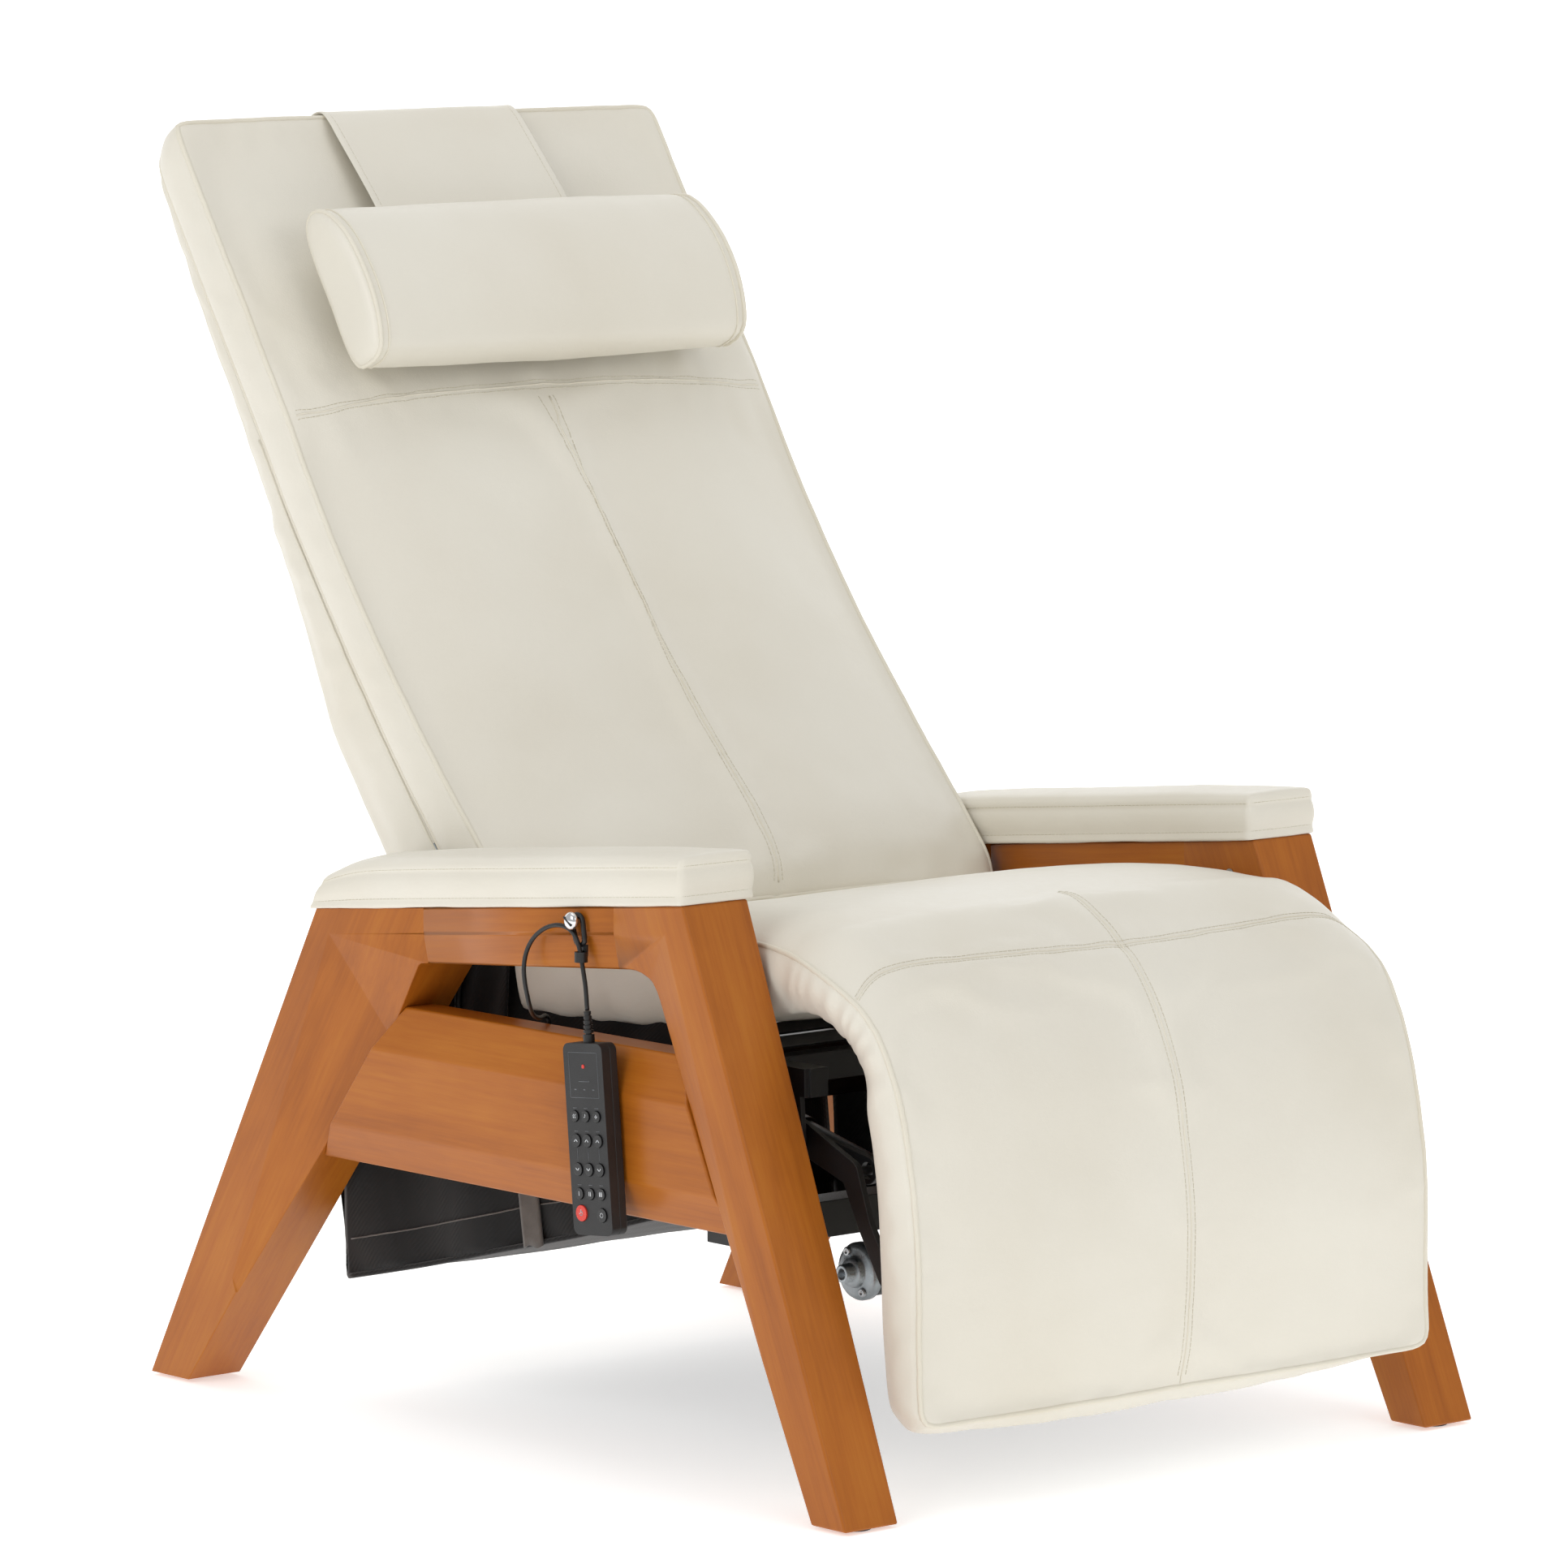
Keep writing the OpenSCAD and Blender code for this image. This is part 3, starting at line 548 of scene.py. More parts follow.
def stained_wood(name, along_y, along_z, seed, dark="#8E4A10", mid="#AA6018", light="#BA7222"):
    """Maple or rubberwood, stained honey brown and lacquered: long fine grain, soft blotches, small pores."""
    mat, shader = material(name, Roughness=0.38, Coat_Weight=0.10, Coat_Roughness=0.22,
                           Specular_IOR_Level=0.27)

    def stretched(scale, vector, **more):
        return add(mat, "ShaderNodeMapping", {"Vector": vector, "Scale": scale, **more}).outputs["Vector"]

    turned = stretched((1, 1, 1), object_place(mat), Rotation=(-math.atan2(along_z, along_y), 0, 0))
    # Grain lines 3 mm apart and about 60 times as long
    figure = cloud(mat, stretched((14, 1.4, 14), turned, Location=(seed, seed * 3, 0)), 1.6, 8.0, 0.62, 0.6)
    fibre = cloud(mat, stretched((240, 7, 240), turned), 1.0, 4.0, 0.7)
    tone = add(mat, "ShaderNodeMath", {0: figure, 1: 0.5}, operation="MULTIPLY").outputs[0]
    for part, share in ((fibre, 0.26), (cloud(mat, turned, 9.0, 3.0), 0.22)):
        tone = add(mat, "ShaderNodeMath", {0: part, 1: share, 2: tone}, operation="MULTIPLY_ADD").outputs[0]
    wire(mat, shader, Base_Color=ramp(mat, tone, [(0.30, dark), (0.50, mid), (0.70, light)]),
         Normal=relief(mat, fibre, 0.10, 0.0004), Roughness=spread(mat, fibre, 0.28, 0.42, 0.0, 1.0))
    return mat


def speckled(name, base, other, size, rough, bump=0.1, metallic=0.0, rough_spread=0.08):
    """A finish with a fine even texture: moulded plastic, powder coat, rubber, plated or cast metal."""
    mat, shader = material(name, Metallic=metallic)
    here = object_place(mat)
    grit = cloud(mat, here, 1000 / size, 5.0, 0.6)
    wire(mat, shader, Base_Color=ramp(mat, cloud(mat, here, 22.0, 3.0), [(0.35, base), (0.65, other)]),
         Roughness=spread(mat, grit, rough - rough_spread, rough + rough_spread),
         Normal=relief(mat, grit, bump, 0.0003))
    return mat


def woven(name, base, other, thread=1.4, rough=0.9):
    """Cloth with a plain weave; the thread is drawn coarse enough to show."""
    mat, shader = material(name, Roughness=rough, Sheen_Weight=0.25, Specular_IOR_Level=0.2)
    here = object_place(mat)
    across, up = [
        add(mat, "ShaderNodeTexWave", {"Vector": here, "Scale": 50 * math.pi / thread, "Distortion": 0.4},
            bands_direction=way).outputs["Fac"] for way in ("X", "DIAGONAL")]
    weave = add(mat, "ShaderNodeMath", {0: across, 1: up}, operation="MULTIPLY").outputs[0]
    wire(mat, shader, Base_Color=ramp(mat, cloud(mat, here, 30.0, 4.0), [(0.3, base), (0.7, other)]),
         Normal=relief(mat, weave, 0.35, 0.0004))
    return mat


CREAM = leather("cream_leather", "#E5E1D5", "#E1DCCF", "#DCD6C7")
PIPING = leather("cream_leather_piping", "#E5E0D2", "#DFD9C9", "#D8D0BD", grain=1.2, rough=0.46)
THREAD = speckled("polyester_thread", "#D6D0BD", "#C4BCA4", 0.6, 0.6, bump=0.2)
POWDER = speckled("powder_coated_steel", "#0B0B0C", "#111113", 0.8, 0.42, bump=0.12)
PLASTIC = speckled("moulded_abs", "#1B1B1C", "#222223", 0.7, 0.48, bump=0.12)
GLOSS = speckled("glossy_button", "#0C0C0D", "#141416", 2.0, 0.2, bump=0.02)
RED = speckled("red_button", "#C9241B", "#DA3A2C", 2.0, 0.24, bump=0.03)
RUBBER = speckled("cable_pvc", "#101010", "#181818", 1.2, 0.4, bump=0.08)
CHROME = speckled("polished_nickel", "#D8D8DA", "#E6E6E6", 3.0, 0.1, bump=0.01, metallic=1.0,
                  rough_spread=0.03)
CAST = speckled("cast_zinc", "#7E8487", "#A6ACB0", 2.2, 0.34, bump=0.25, metallic=1.0, rough_spread=0.1)
ZINC = speckled("zinc_plate", "#9A9DA0", "#B4B6B8", 1.6, 0.3, bump=0.05, metallic=1.0)
CLOTH = woven("black_nonwoven", "#060606", "#0C0C0D")
WEBBING = woven("elastic_webbing", "#111112", "#1E1E20", thread=2.2)
TAPE = woven("grey_binding_tape", "#4E4844", "#655E58", thread=1.8)
PLY = stained_wood("birch_plywood", 0, 1, 2.0, "#C39A66", "#D0AA78", "#DCBC8E")
PCB = speckled("solder_mask", "#0C4A24", "#12602F", 2.0, 0.35)
PRINT = speckled("white_print", "#C9CCD0", "#DADDE0", 1.0, 0.5, bump=0.0)
LED_PRINT = speckled("grey_print", "#5A5D61", "#6A6D71", 1.0, 0.5, bump=0.0)


# ---- Covers, seams and cloth ----

def upholster(piece, body, fill, *nodes):
    """Finishes a stuffed leather piece that stands for the CAD's nodes; gives its surface."""
    finish_piece(piece, body, "cream_leather", CREAM, nodes)
    return surface_of(piece)


def sewn_cord(name, tree, points, radius, body, step=8, lift=0.0, sides=6, closed=False):
    """A seam or a piping: a round leather cord laid along a surface. Sizes are in mm."""
    path = [p for p, _ in laid_on(tree, even_path(points, step * MM, closed), lift * MM)]
    return finish_piece(tube(name, path, radius * MM, sides, closed), body, "cream_leather", PIPING)


def cloth_piece(bm, name, body, thick, nodes=()):
    """A sheet of black cloth, given its thickness in mm."""
    outward(bm)
    cloth = keep(bm, name)
    cloth.modifiers.new("cloth thickness", "SOLIDIFY").thickness = thick * MM
    apply_modifiers(cloth)
    return finish_piece(cloth, body, "black_cloth", CLOTH, nodes)


def small_box(name, size, lean, at, round_by=0.0):
    """A box of a size in mm, leaning rearwards by an angle about x, with its edges rounded."""
    bm = bmesh.new()
    bmesh.ops.create_cube(bm, size=1.0)
    bmesh.ops.scale(bm, vec=Vector(size) * MM, verts=bm.verts)
    if round_by:
        bmesh.ops.bevel(bm, geom=bm.edges[:], offset=round_by * MM, segments=2, profile=0.5, affect="EDGES",
                        material=-1)
    bmesh.ops.rotate(bm, cent=(0, 0, 0), matrix=Matrix.Rotation(lean, 3, "X"), verts=bm.verts)
    bmesh.ops.translate(bm, vec=at, verts=bm.verts)
    return keep(bm, name)


# ---- The hand control's cord: over its hook's ring, and down behind the side rail ----

CORD_X = -OUTER_X - 10
CORD = [
    (CORD_X, 323.6, 410.8), (CORD_X, 325.6, 430), (CORD_X, 328.6, 444), (CORD_X, 331.6, 456),
    (CORD_X, 334, 464), (CORD_X, 338, 472), (CORD_X, 345, 478), (CORD_X, 356, 481), (CORD_X, 369, 480),
    (CORD_X, 383, 475), (CORD_X, 396, 466), (CORD_X, 405, 454), (CORD_X, 409, 440), (CORD_X + 1, 409, 426),
    (CORD_X + 4, 409, 413), (CORD_X + 11, 414, 402), (CORD_X + 22, 423, 394), (CORD_X + 35, 433, 389),
    (CORD_X + 48, 443, 387), (CORD_X + 57, 449, 387), (CORD_X + 64, 453, 382), (CORD_X + 66.5, 454, 371),
    (CORD_X + 66.5, 454, 354), (CORD_X + 66.5, 454, 336)]
CORD_D = 4 * MM


def make_cord():
    path = even_path([place(*p) for p in CORD], 4 * MM)
    lead = tube("remote_lead", path, CORD_D / 2, 12)
    finish_piece(lead, None, "black_rubber", RUBBER, ["remote_cord"])
    length = sum((b - a).length for a, b in zip(path, path[1:]))
    tuple(path[0])
    [tuple(p) for p in path]
    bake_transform(lead)


make_cord()


# ---- Wooden frame ----

def make_wood():
    """Members with the grain along each: (y, z) of its two ends, and a shift of the figure."""
    members = {"front_leg": ((22, 0), (235, 490), 0.2), "rear_leg": ((936, 0), (650, 450), 1.1),
               "arm_beam": ((713, 459), (210, 512), 2.3), "side_rail": ((0, 300), (800, 305), 3.7)}
    joints_y = (FRONT_Y + 300 * MM, FRONT_Y + 560 * MM)

    def on_joint(a, b):
        return any(abs(a.y - y) < 0.0002 and abs(b.y - y) < 0.0002 for y in joints_y)

    for (side, _), seed in zip(SIDES, (0.0, 4.3)):
        for kind, (a, b, shift) in members.items():
            wood = stained_wood(f"honey_wood_{kind}_{side}", b[0] - a[0], b[1] - a[1], seed + shift)
            softened(f"{kind}_{side}", wood, "honey_wood", 2.2, 3, on_joint, ridge=90)


make_wood()


# ---- Arm pads ----

# The two stitched seams, as shares of the pad's height
SEAM_HEIGHTS = (0.19, 0.79)


def make_arm_pads():
    """Leather-wrapped pads: a flat welt along the wood, a rounded rear end, a stitched seam at the top."""
    length, height = 510, 42
    bottom = [(208, 512.2), (300, 502.5), (420, 489.9), (560, 475.1), (650, 465.6), (721, 458.2)]
    top = [(208, 554), (300, 545), (420, 532.5), (560, 518), (646, 507), (700, 490)]
    for side, sign in SIDES:
        node = f"arm_pad_{side}"
        lo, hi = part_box(node)
        x0, x1 = lo.x / MM, hi.x / MM
        half, mid = (x1 - x0) / 2, (x0 + x1) / 2

        def form(a, b, c):
            along, wide = corner(b * length / 2, abs(a) * half, length / 2, half, 9)
            x = sign_of(a) * wide
            x, h = corner(x, (c + 1) / 2 * height, half, height, 9)
            along, h = corner(along, h, length / 2, height, 9)
            t = along / length + 0.5
            lower, upper = spline(bottom, t), spline(top, t)
            y, z = between(lower[0], upper[0], h / height), between(lower[1], upper[1], h / height)
            u = min(1.0, abs(x) / half)
            z += 5.5 * (1 - u ** 2.2) * (1 - abs(2 * t - 1) ** 5) * smooth((h - 30) / 12)
            # a flat welt along the wood and a sewn-in line below the top panel
            inset = 1.3 * smooth((h - 4.5) / 2.5) + groove(h - 31, 2.6, 1.1)
            swell = 1.8 * math.sin(math.pi * min(1, max(0, (h - 6) / 25)))
            if abs(a) > 0.99:
                x += sign_of(a) * (swell - inset)
            if abs(b) > 0.99:
                y += sign_of(b) * (swell - inset)
            return place(mid + x, y, z)

        pad = keep(shaped(grid_block((16, 76, 15)), form), f"arm_pad_cover_{side}")
        ripple(pad, (0.9, 0.07, 5 + sign), (0.4, 0.022, 8 + sign))
        tree = upholster(pad, "frame", 0.8, node)
        sides = [(spline(bottom, i / 39), spline(top, i / 39)) for i in range(40)]
        rows = [[place(x, between(a[0], b[0], h), between(a[1], b[1], h)) for a, b in sides]
                for x in (x0 + 1.6, x1 - 1.6) for h in SEAM_HEIGHTS]
        a, b = bottom[0], top[0]
        for h in SEAM_HEIGHTS:
            rows.append([place(between(x0 + 3, x1 - 3, i / 7), a[0] - 2, between(a[1], b[1], h))
                         for i in range(8)])
        stitches(f"arm_pad_stitches_{side}", "frame", tree, rows, THREAD)


make_arm_pads()


# ---- Back cushion, rear cover, strap and pillow, drawn in the back's own view ----

BACK_HALF = -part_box("back_cushion")[0].x / MM
BACK_LEN = 858
# How far behind the back's own plane its parts lie, up the slope: side piping, middle of the front, rear seam
# of the border, and the rear of the cover over the mechanism
BACK_EDGE = [(-12, -4), (12, 0), (88, 6), (190, 17), (287, 24), (365, 26), (442, 25), (544, 18), (640, 12),
             (855, 1)]
BACK_CENTRE = [(-17, -26), (15, -37), (69, -41), (125, -31), (192, -21), (343, -15), (461, -11), (555, -4),
               (640, -6), (740, -6), (820, -4), (858, -1)]
BACK_SEAM = [(-12, 50), (60, 56), (120, 61), (200, 66), (272, 69), (403, 70), (473, 69), (549, 63), (700, 55),
             (858, 46)]
REAR_DEPTH = [(-4, 94), (16, 108), (40, 122), (70, 131), (110, 134), (214, 135), (280, 134), (330, 126),
              (388, 114), (448, 104), (478, 100), (486, 98), (493, 91.5), (502, 91), (549, 85), (700, 68),
              (823, 54), (850, 48.5)]


def head_seam_z(u):
    return 544 + 11 * (1 - u * u)


def back_height(b):
    return -6 + (BACK_LEN + 6) * (b + 1) / 2


def back_form(a, b, c):
    depth = (c + 1) / 2
    z = back_height(b)
    x = BACK_HALF * a
    x, z = corner(x, z, BACK_HALF, BACK_LEN, between(13, 34, depth))
    x, low = corner(x, -z, BACK_HALF, 6, between(14, 20, depth))
    z = -low
    u = min(1.0, abs(x) / BACK_HALF)
    rim = 1 - u ** 3.2
    edge = table_at(BACK_EDGE, z)
    front = edge + (table_at(BACK_CENTRE, z) - edge) * rim
    if c < -0.999:
        front += groove(z - head_seam_z(a)) * rim ** 0.3
        if z < head_seam_z(a):
            front += groove(x, 5.0, 2.2)
    bottom_curl = 14 * smooth((30 - z) / 40)
    y = between(front + bottom_curl * (1 - depth), table_at(BACK_SEAM, z), depth)
    bulge = 3.5 * math.sin(math.pi * depth)
    if abs(a) > 0.999:
        x += sign_of(a) * bulge
    if b > 0.999:
        z += bulge
    return on_back(x, y, z)


def make_back_cushion():
    counts = (46, 68, 5)

    def sewn(p):
        """All round the front, at its seams, and at the rear of the border."""
        z = back_height(p.y)
        centre = abs(p.x) < 0.012 and z < head_seam_z(0)
        seam = abs(z - head_seam_z(p.x)) < 7 or centre
        return p.z > 0.5 or p.z < -0.999 and (max(abs(p.x), abs(p.y)) > 0.999 or seam)

    pad = keep(shaped(grid_block(counts), back_form), "back_cushion_cover")
    cushion_sim(pad, sewn_down(counts, sewn), 2.2, 7)
    lower = on_back(0, 0, 120)
    ripple(pad, (1.6, 0.11, 2.0), (0.7, 0.035, 9.0),
           weight=lambda co: 0.5 + 0.9 * smooth(1 - (co - lower).length / 0.5))
    pucker_seams(pad)
    return upholster(pad, "back", 0.75, "back_cushion")


def pucker_seams(pad):
    """Small gathers across each sewn seam of the back, fading out within 16 mm."""
    normals = [v.normal.copy() for v in pad.data.vertices]
    c, s = math.cos(BACK_ANGLE), math.sin(BACK_ANGLE)
    foot = place(0, *BACK_FOOT)
    for v, n in zip(pad.data.vertices, normals):
        d = v.co - foot
        x, z, y = v.co.x / MM, (d.y * s + d.z * c) / MM, (d.y * c - d.z * s) / MM
        if y > 6:
            continue
        along_head = noise.noise(Vector((x / 9, z / 60, 1.0)))
        along_centre = noise.noise(Vector((x / 60, z / 9, 4.0)))
        near_head = math.exp(-((z - head_seam_z(x / BACK_HALF)) / 16) ** 2)
        near_centre = math.exp(-(x / 14) ** 2) if z < 552 else 0.0
        v.co += n * MM * (0.8 * along_head * near_head + 0.7 * along_centre * near_centre)


BACK = make_back_cushion()
# Points across a cross seam, a little short of its two ends
ACROSS = [-0.985 + 1.97 * i / 40 for i in range(41)]


def back_edge(depth):
    """The closed line round the cushion's edge, at that depth of its border."""
    steps = 60
    corners = [(-1, -1), (-1, 1), (1, 1), (1, -1), (-1, -1)]
    return [back_form(between(a[0], b[0], i / steps), between(a[1], b[1], i / steps), 2 * depth - 1)
            for a, b in zip(corners, corners[1:]) for i in range(steps)]


def make_back_trim():
    for name, depth, radius in (("back_front_piping", 0.0, 2.3), ("back_rear_piping", 0.98, 2.0)):
        sewn_cord(name, BACK, back_edge(depth), radius, "back", 7, 0.4, 8, True)
    rows = []
    for off in (-4.5, 4.5):
        rows.append([on_back(u * BACK_HALF, -10, head_seam_z(u) + off) for u in ACROSS])
        rows.append([on_back(off, -30, z) for z in range(4, 545, 18)])
    stitches("back_seam_stitches", "back", BACK, rows, THREAD)
    fold = [on_back(u * BACK_HALF, -10, head_seam_z(u)) for u in ACROSS]
    sewn_cord("back_head_seam", BACK, fold, 0.9, "back")
    sewn_cord("back_centre_seam", BACK, [on_back(0, -30, z) for z in range(2, 552, 18)], 0.9, "back")


make_back_trim()


def make_rear_cover():
    """Leather bag over the mechanism: a wedge, thick at the hinge and thin at the head, zipped on."""
    top, foot, half = 850, 4, BACK_HALF - 1

    def form(a, b, c):
        depth = (c + 1) / 2
        x, z = corner(half * a, -foot + (top + foot) * (b + 1) / 2, half, top, 36)
        far = table_at(REAR_DEPTH, z)
        seam = table_at(BACK_SEAM, z) - 1
        u = abs(x) / BACK_HALF
        far += 4 * (1 - u ** 4) * smooth((z + foot) / 60) * smooth((top - z) / 200)
        y = between(seam, max(far, seam + 1), depth)
        if abs(a) > 0.999:
            fullness = min(1.0, (far - seam) / 40)
            round_off = 5.4 * smooth((depth - 0.5) / 0.5)
            x += sign_of(a) * fullness * (2.5 * math.sin(math.pi * min(1, depth * 1.1)) - round_off)
        return on_back(x, y, z)

    pad = keep(shaped(grid_block((40, 84, 7)), form), "rear_cover_leather")
    lower = on_back(0, 0, 0)
    axis = Vector((0, math.sin(BACK_ANGLE), math.cos(BACK_ANGLE)))
    out = Vector((0, math.cos(BACK_ANGLE), -math.sin(BACK_ANGLE)))

    def held(co):
        y = (co - lower).dot(out) / MM
        z = (co - lower).dot(axis) / MM
        return 1.0 if y < table_at(BACK_SEAM, z) + 5 or z < 4 or abs(z - 489) < 12 else 0.25

    cushion_sim(pad, [held(v.co) for v in pad.data.vertices], 1.0, 5)
    ripple(pad, (2.2, 0.12, 12.0), (0.9, 0.04, 15.0), weight=lambda co: 1 - held(co))
    return upholster(pad, "back", 0.4, "back_cover")


REAR = make_rear_cover()


def make_rear_trim():
    rows = [[on_back(off, 200, z) for z in range(10, 480, 20)] for off in (-4, 4)]
    rows += [[on_back(u * BACK_HALF * 0.1, 200, z) for u in range(-9, 10)] for z in (496, 501)]
    stitches("rear_cover_stitches", "back", REAR, rows, THREAD)
    # a zip along the right-hand side, with its puller low down
    zip_line = [on_back(-BACK_HALF - 2, table_at(BACK_SEAM, z) + 1, z) for z in range(40, 560, 16)]
    sewn_cord("zip_coil", REAR, zip_line, 1.3, "back", lift=0.3)
    at, normal = laid_on(REAR, [on_back(-BACK_HALF, table_at(BACK_SEAM, 120) + 3, 120)])[0]
    puller = small_box("zip_puller", (3, 7, 12), -BACK_ANGLE, at + normal * 2.2 * MM, 1.0)
    finish_piece(puller, "back", "bright_steel", CAST)


make_rear_trim()


# ---- Strap over the top of the back, and the pillow on it ----

STRAP_HALF = -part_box("pillow_strap")[0].x / MM
STRAP_PATH = [(-15, 656), (-19, 700), (-17, 745), (-12, 790), (-7, 828), (-4, 848), (2, 861),
              (16, 866), (34, 864), (47, 857), (55, 842), (61, 800), (68, 740), (75, 680), (82, 620),
              (88, 566)]


def make_strap():
    thick = 2.6

    def form(a, b, c):
        s = (b + 1) / 2
        y, z = spline(STRAP_PATH, s)
        normal = square_to(STRAP_PATH, s)
        lift = thick * c / 2 + 1.2 * math.exp(-((1 - abs(a)) * STRAP_HALF / 5) ** 2)
        x = a * (STRAP_HALF + 1.2 * math.sin(s * 5 + 1))
        return on_back(x, y + normal.x * lift, z + normal.y * lift)

    strap = keep(shaped(grid_block((26, 90, 1)), form), "pillow_strap_leather")
    ripple(strap, (1.2, 0.09, 21.0))
    tree = upholster(strap, "back", 0.2, "pillow_strap")
    rows = []
    for x in (7 - STRAP_HALF, STRAP_HALF - 7):
        path = [spline(STRAP_PATH, i / 59) for i in range(60)]
        rows.append([on_back(x, y, z + 3) if z >= 852 else on_back(x, y + (-3 if y < 20 else 3), z)
                     for y, z in path])
    stitches("strap_stitches", "back", tree, rows, THREAD)


make_strap()

PILLOW_HALF = -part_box("head_pillow")[0].x / MM
# Section of the pillow, from its lower rear corner round the front: (rearwards, up the slope)
PILLOW_REAR_LOW = (-20, 577)
PILLOW_SECTION = [(0, 0), (-18, -12), (-38, -10), (-50, 6), (-58, 30), (-62, 58), (-61, 90), (-54, 118),
                  (-42, 138), (-26, 146), (-13, 138), (-6, 112), (-2, 60)]


def on_pillow(x, y, z):
    return on_back(x, PILLOW_REAR_LOW[0] + y, PILLOW_REAR_LOW[1] + z)


def make_pillow():
    """Bolster: a roll of leather with two sewn-in end caps, fuller in the middle."""
    centre = (-31, 66)
    rings, around = 44, 52
    section = [spline(PILLOW_SECTION, i / around, True) for i in range(around)]
    # Rings of the roll, end cap to end cap: (how far along, size of the ring, how far the cap stands out)
    dome = [(0.05, 5.0), (0.25, 5.2), (0.45, 5.6), (0.62, 6.2), (0.76, 6.4), (0.87, 5.4), (0.94, 3.6),
            (0.975, 1.4)]
    rows = [(0.0, size, -out) for size, out in dome] + [(r / rings, 1.0, 0.0) for r in range(rings + 1)]
    rows += [(1.0, size, out) for size, out in reversed(dome)]
    bm = bmesh.new()
    ring = bmesh.ops.create_circle(bm, cap_ends=True, segments=around, radius=1.0)["verts"]
    edges = bm.edges[:]
    for t, size, out in rows:
        if (t, size, out) != rows[0]:
            edges, ring = extrude_ring(bm, edges, ring)
        grow = 1 + 0.085 * (1 - abs(2 * t - 1) ** 2.2)
        for i, (v, (y, z)) in enumerate(zip(ring, section)):
            gather = 1 - 0.012 * (1 + math.sin(i * 2.9 + 9 * t)) * math.exp(-min(t, 1 - t) / 0.02)
            v.co = on_pillow(PILLOW_HALF * (2 * t - 1) + out,
                             centre[0] + (y - centre[0]) * grow * size * gather,
                             centre[1] + (z - centre[1]) * (1 + (grow - 1) * 0.35) * size * gather)
    bmesh.ops.contextual_create(bm, geom=edges)
    outward(bm)
    pillow = keep(bm, "head_pillow_cover")
    ripple(pillow, (1.3, 0.08, 31.0), (0.5, 0.03, 33.0))
    tree = upholster(pillow, "headrest", 0.9, "head_pillow")
    for side, sign in SIDES:
        for name, inset, radius in (("welt", 0.0, 2.2), ("second_welt", 9.0, 1.0)):
            line = [on_pillow(sign * (PILLOW_HALF - inset), y, z) for y, z in section]
            sewn_cord(f"pillow_{name}_{side}", tree, line, radius, "headrest", 6, 0.4, 8, True)


make_pillow()


# ---- Seat and leg cushion: one cover from under the back to the feet ----

SEAT_HALF = -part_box("seat_cushion")[0].x / MM
LEG_HALF = -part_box("legrest_cushion")[0].x / MM
# Along the cushion: (piping y, z, crown y, z, thickness at the border)
LEG_PATH = [
    (541, 449, 548, 452, 70), (470, 457, 470, 464, 78), (400, 463, 400, 480, 82), (330, 468, 330, 492, 82),
    (262, 472, 262, 499, 78), (205, 473, 205, 501, 66), (160, 467, 160, 499, 52), (126, 457, 126, 497, 42),
    (94, 444, 90, 478, 42), (66, 428, 56, 451, 44), (42, 402, 28, 413, 46), (22, 362, 3, 362, 47),
    (8, 312, -11, 308, 49), (0, 262, -19, 258, 50), (-4, 209, -22, 210, 50), (-5, 160, -20, 162, 49),
    (-6, 118, -15, 118, 46), (-8, 82, -7, 80, 40)]
KNEE_SEAM_T = 8.55 / 17
CENTRE_SEAM_T = 0.375
LEG_LEN = 930


def knee_seam_t(u):
    return KNEE_SEAM_T - 0.022 + 0.026 * (1 - u * u) + 0.02 * smooth((abs(u) - 0.9) / 0.1)


def leg_half(t):
    return between(SEAT_HALF, LEG_HALF - 1, smooth((t - 0.2) / 0.25))


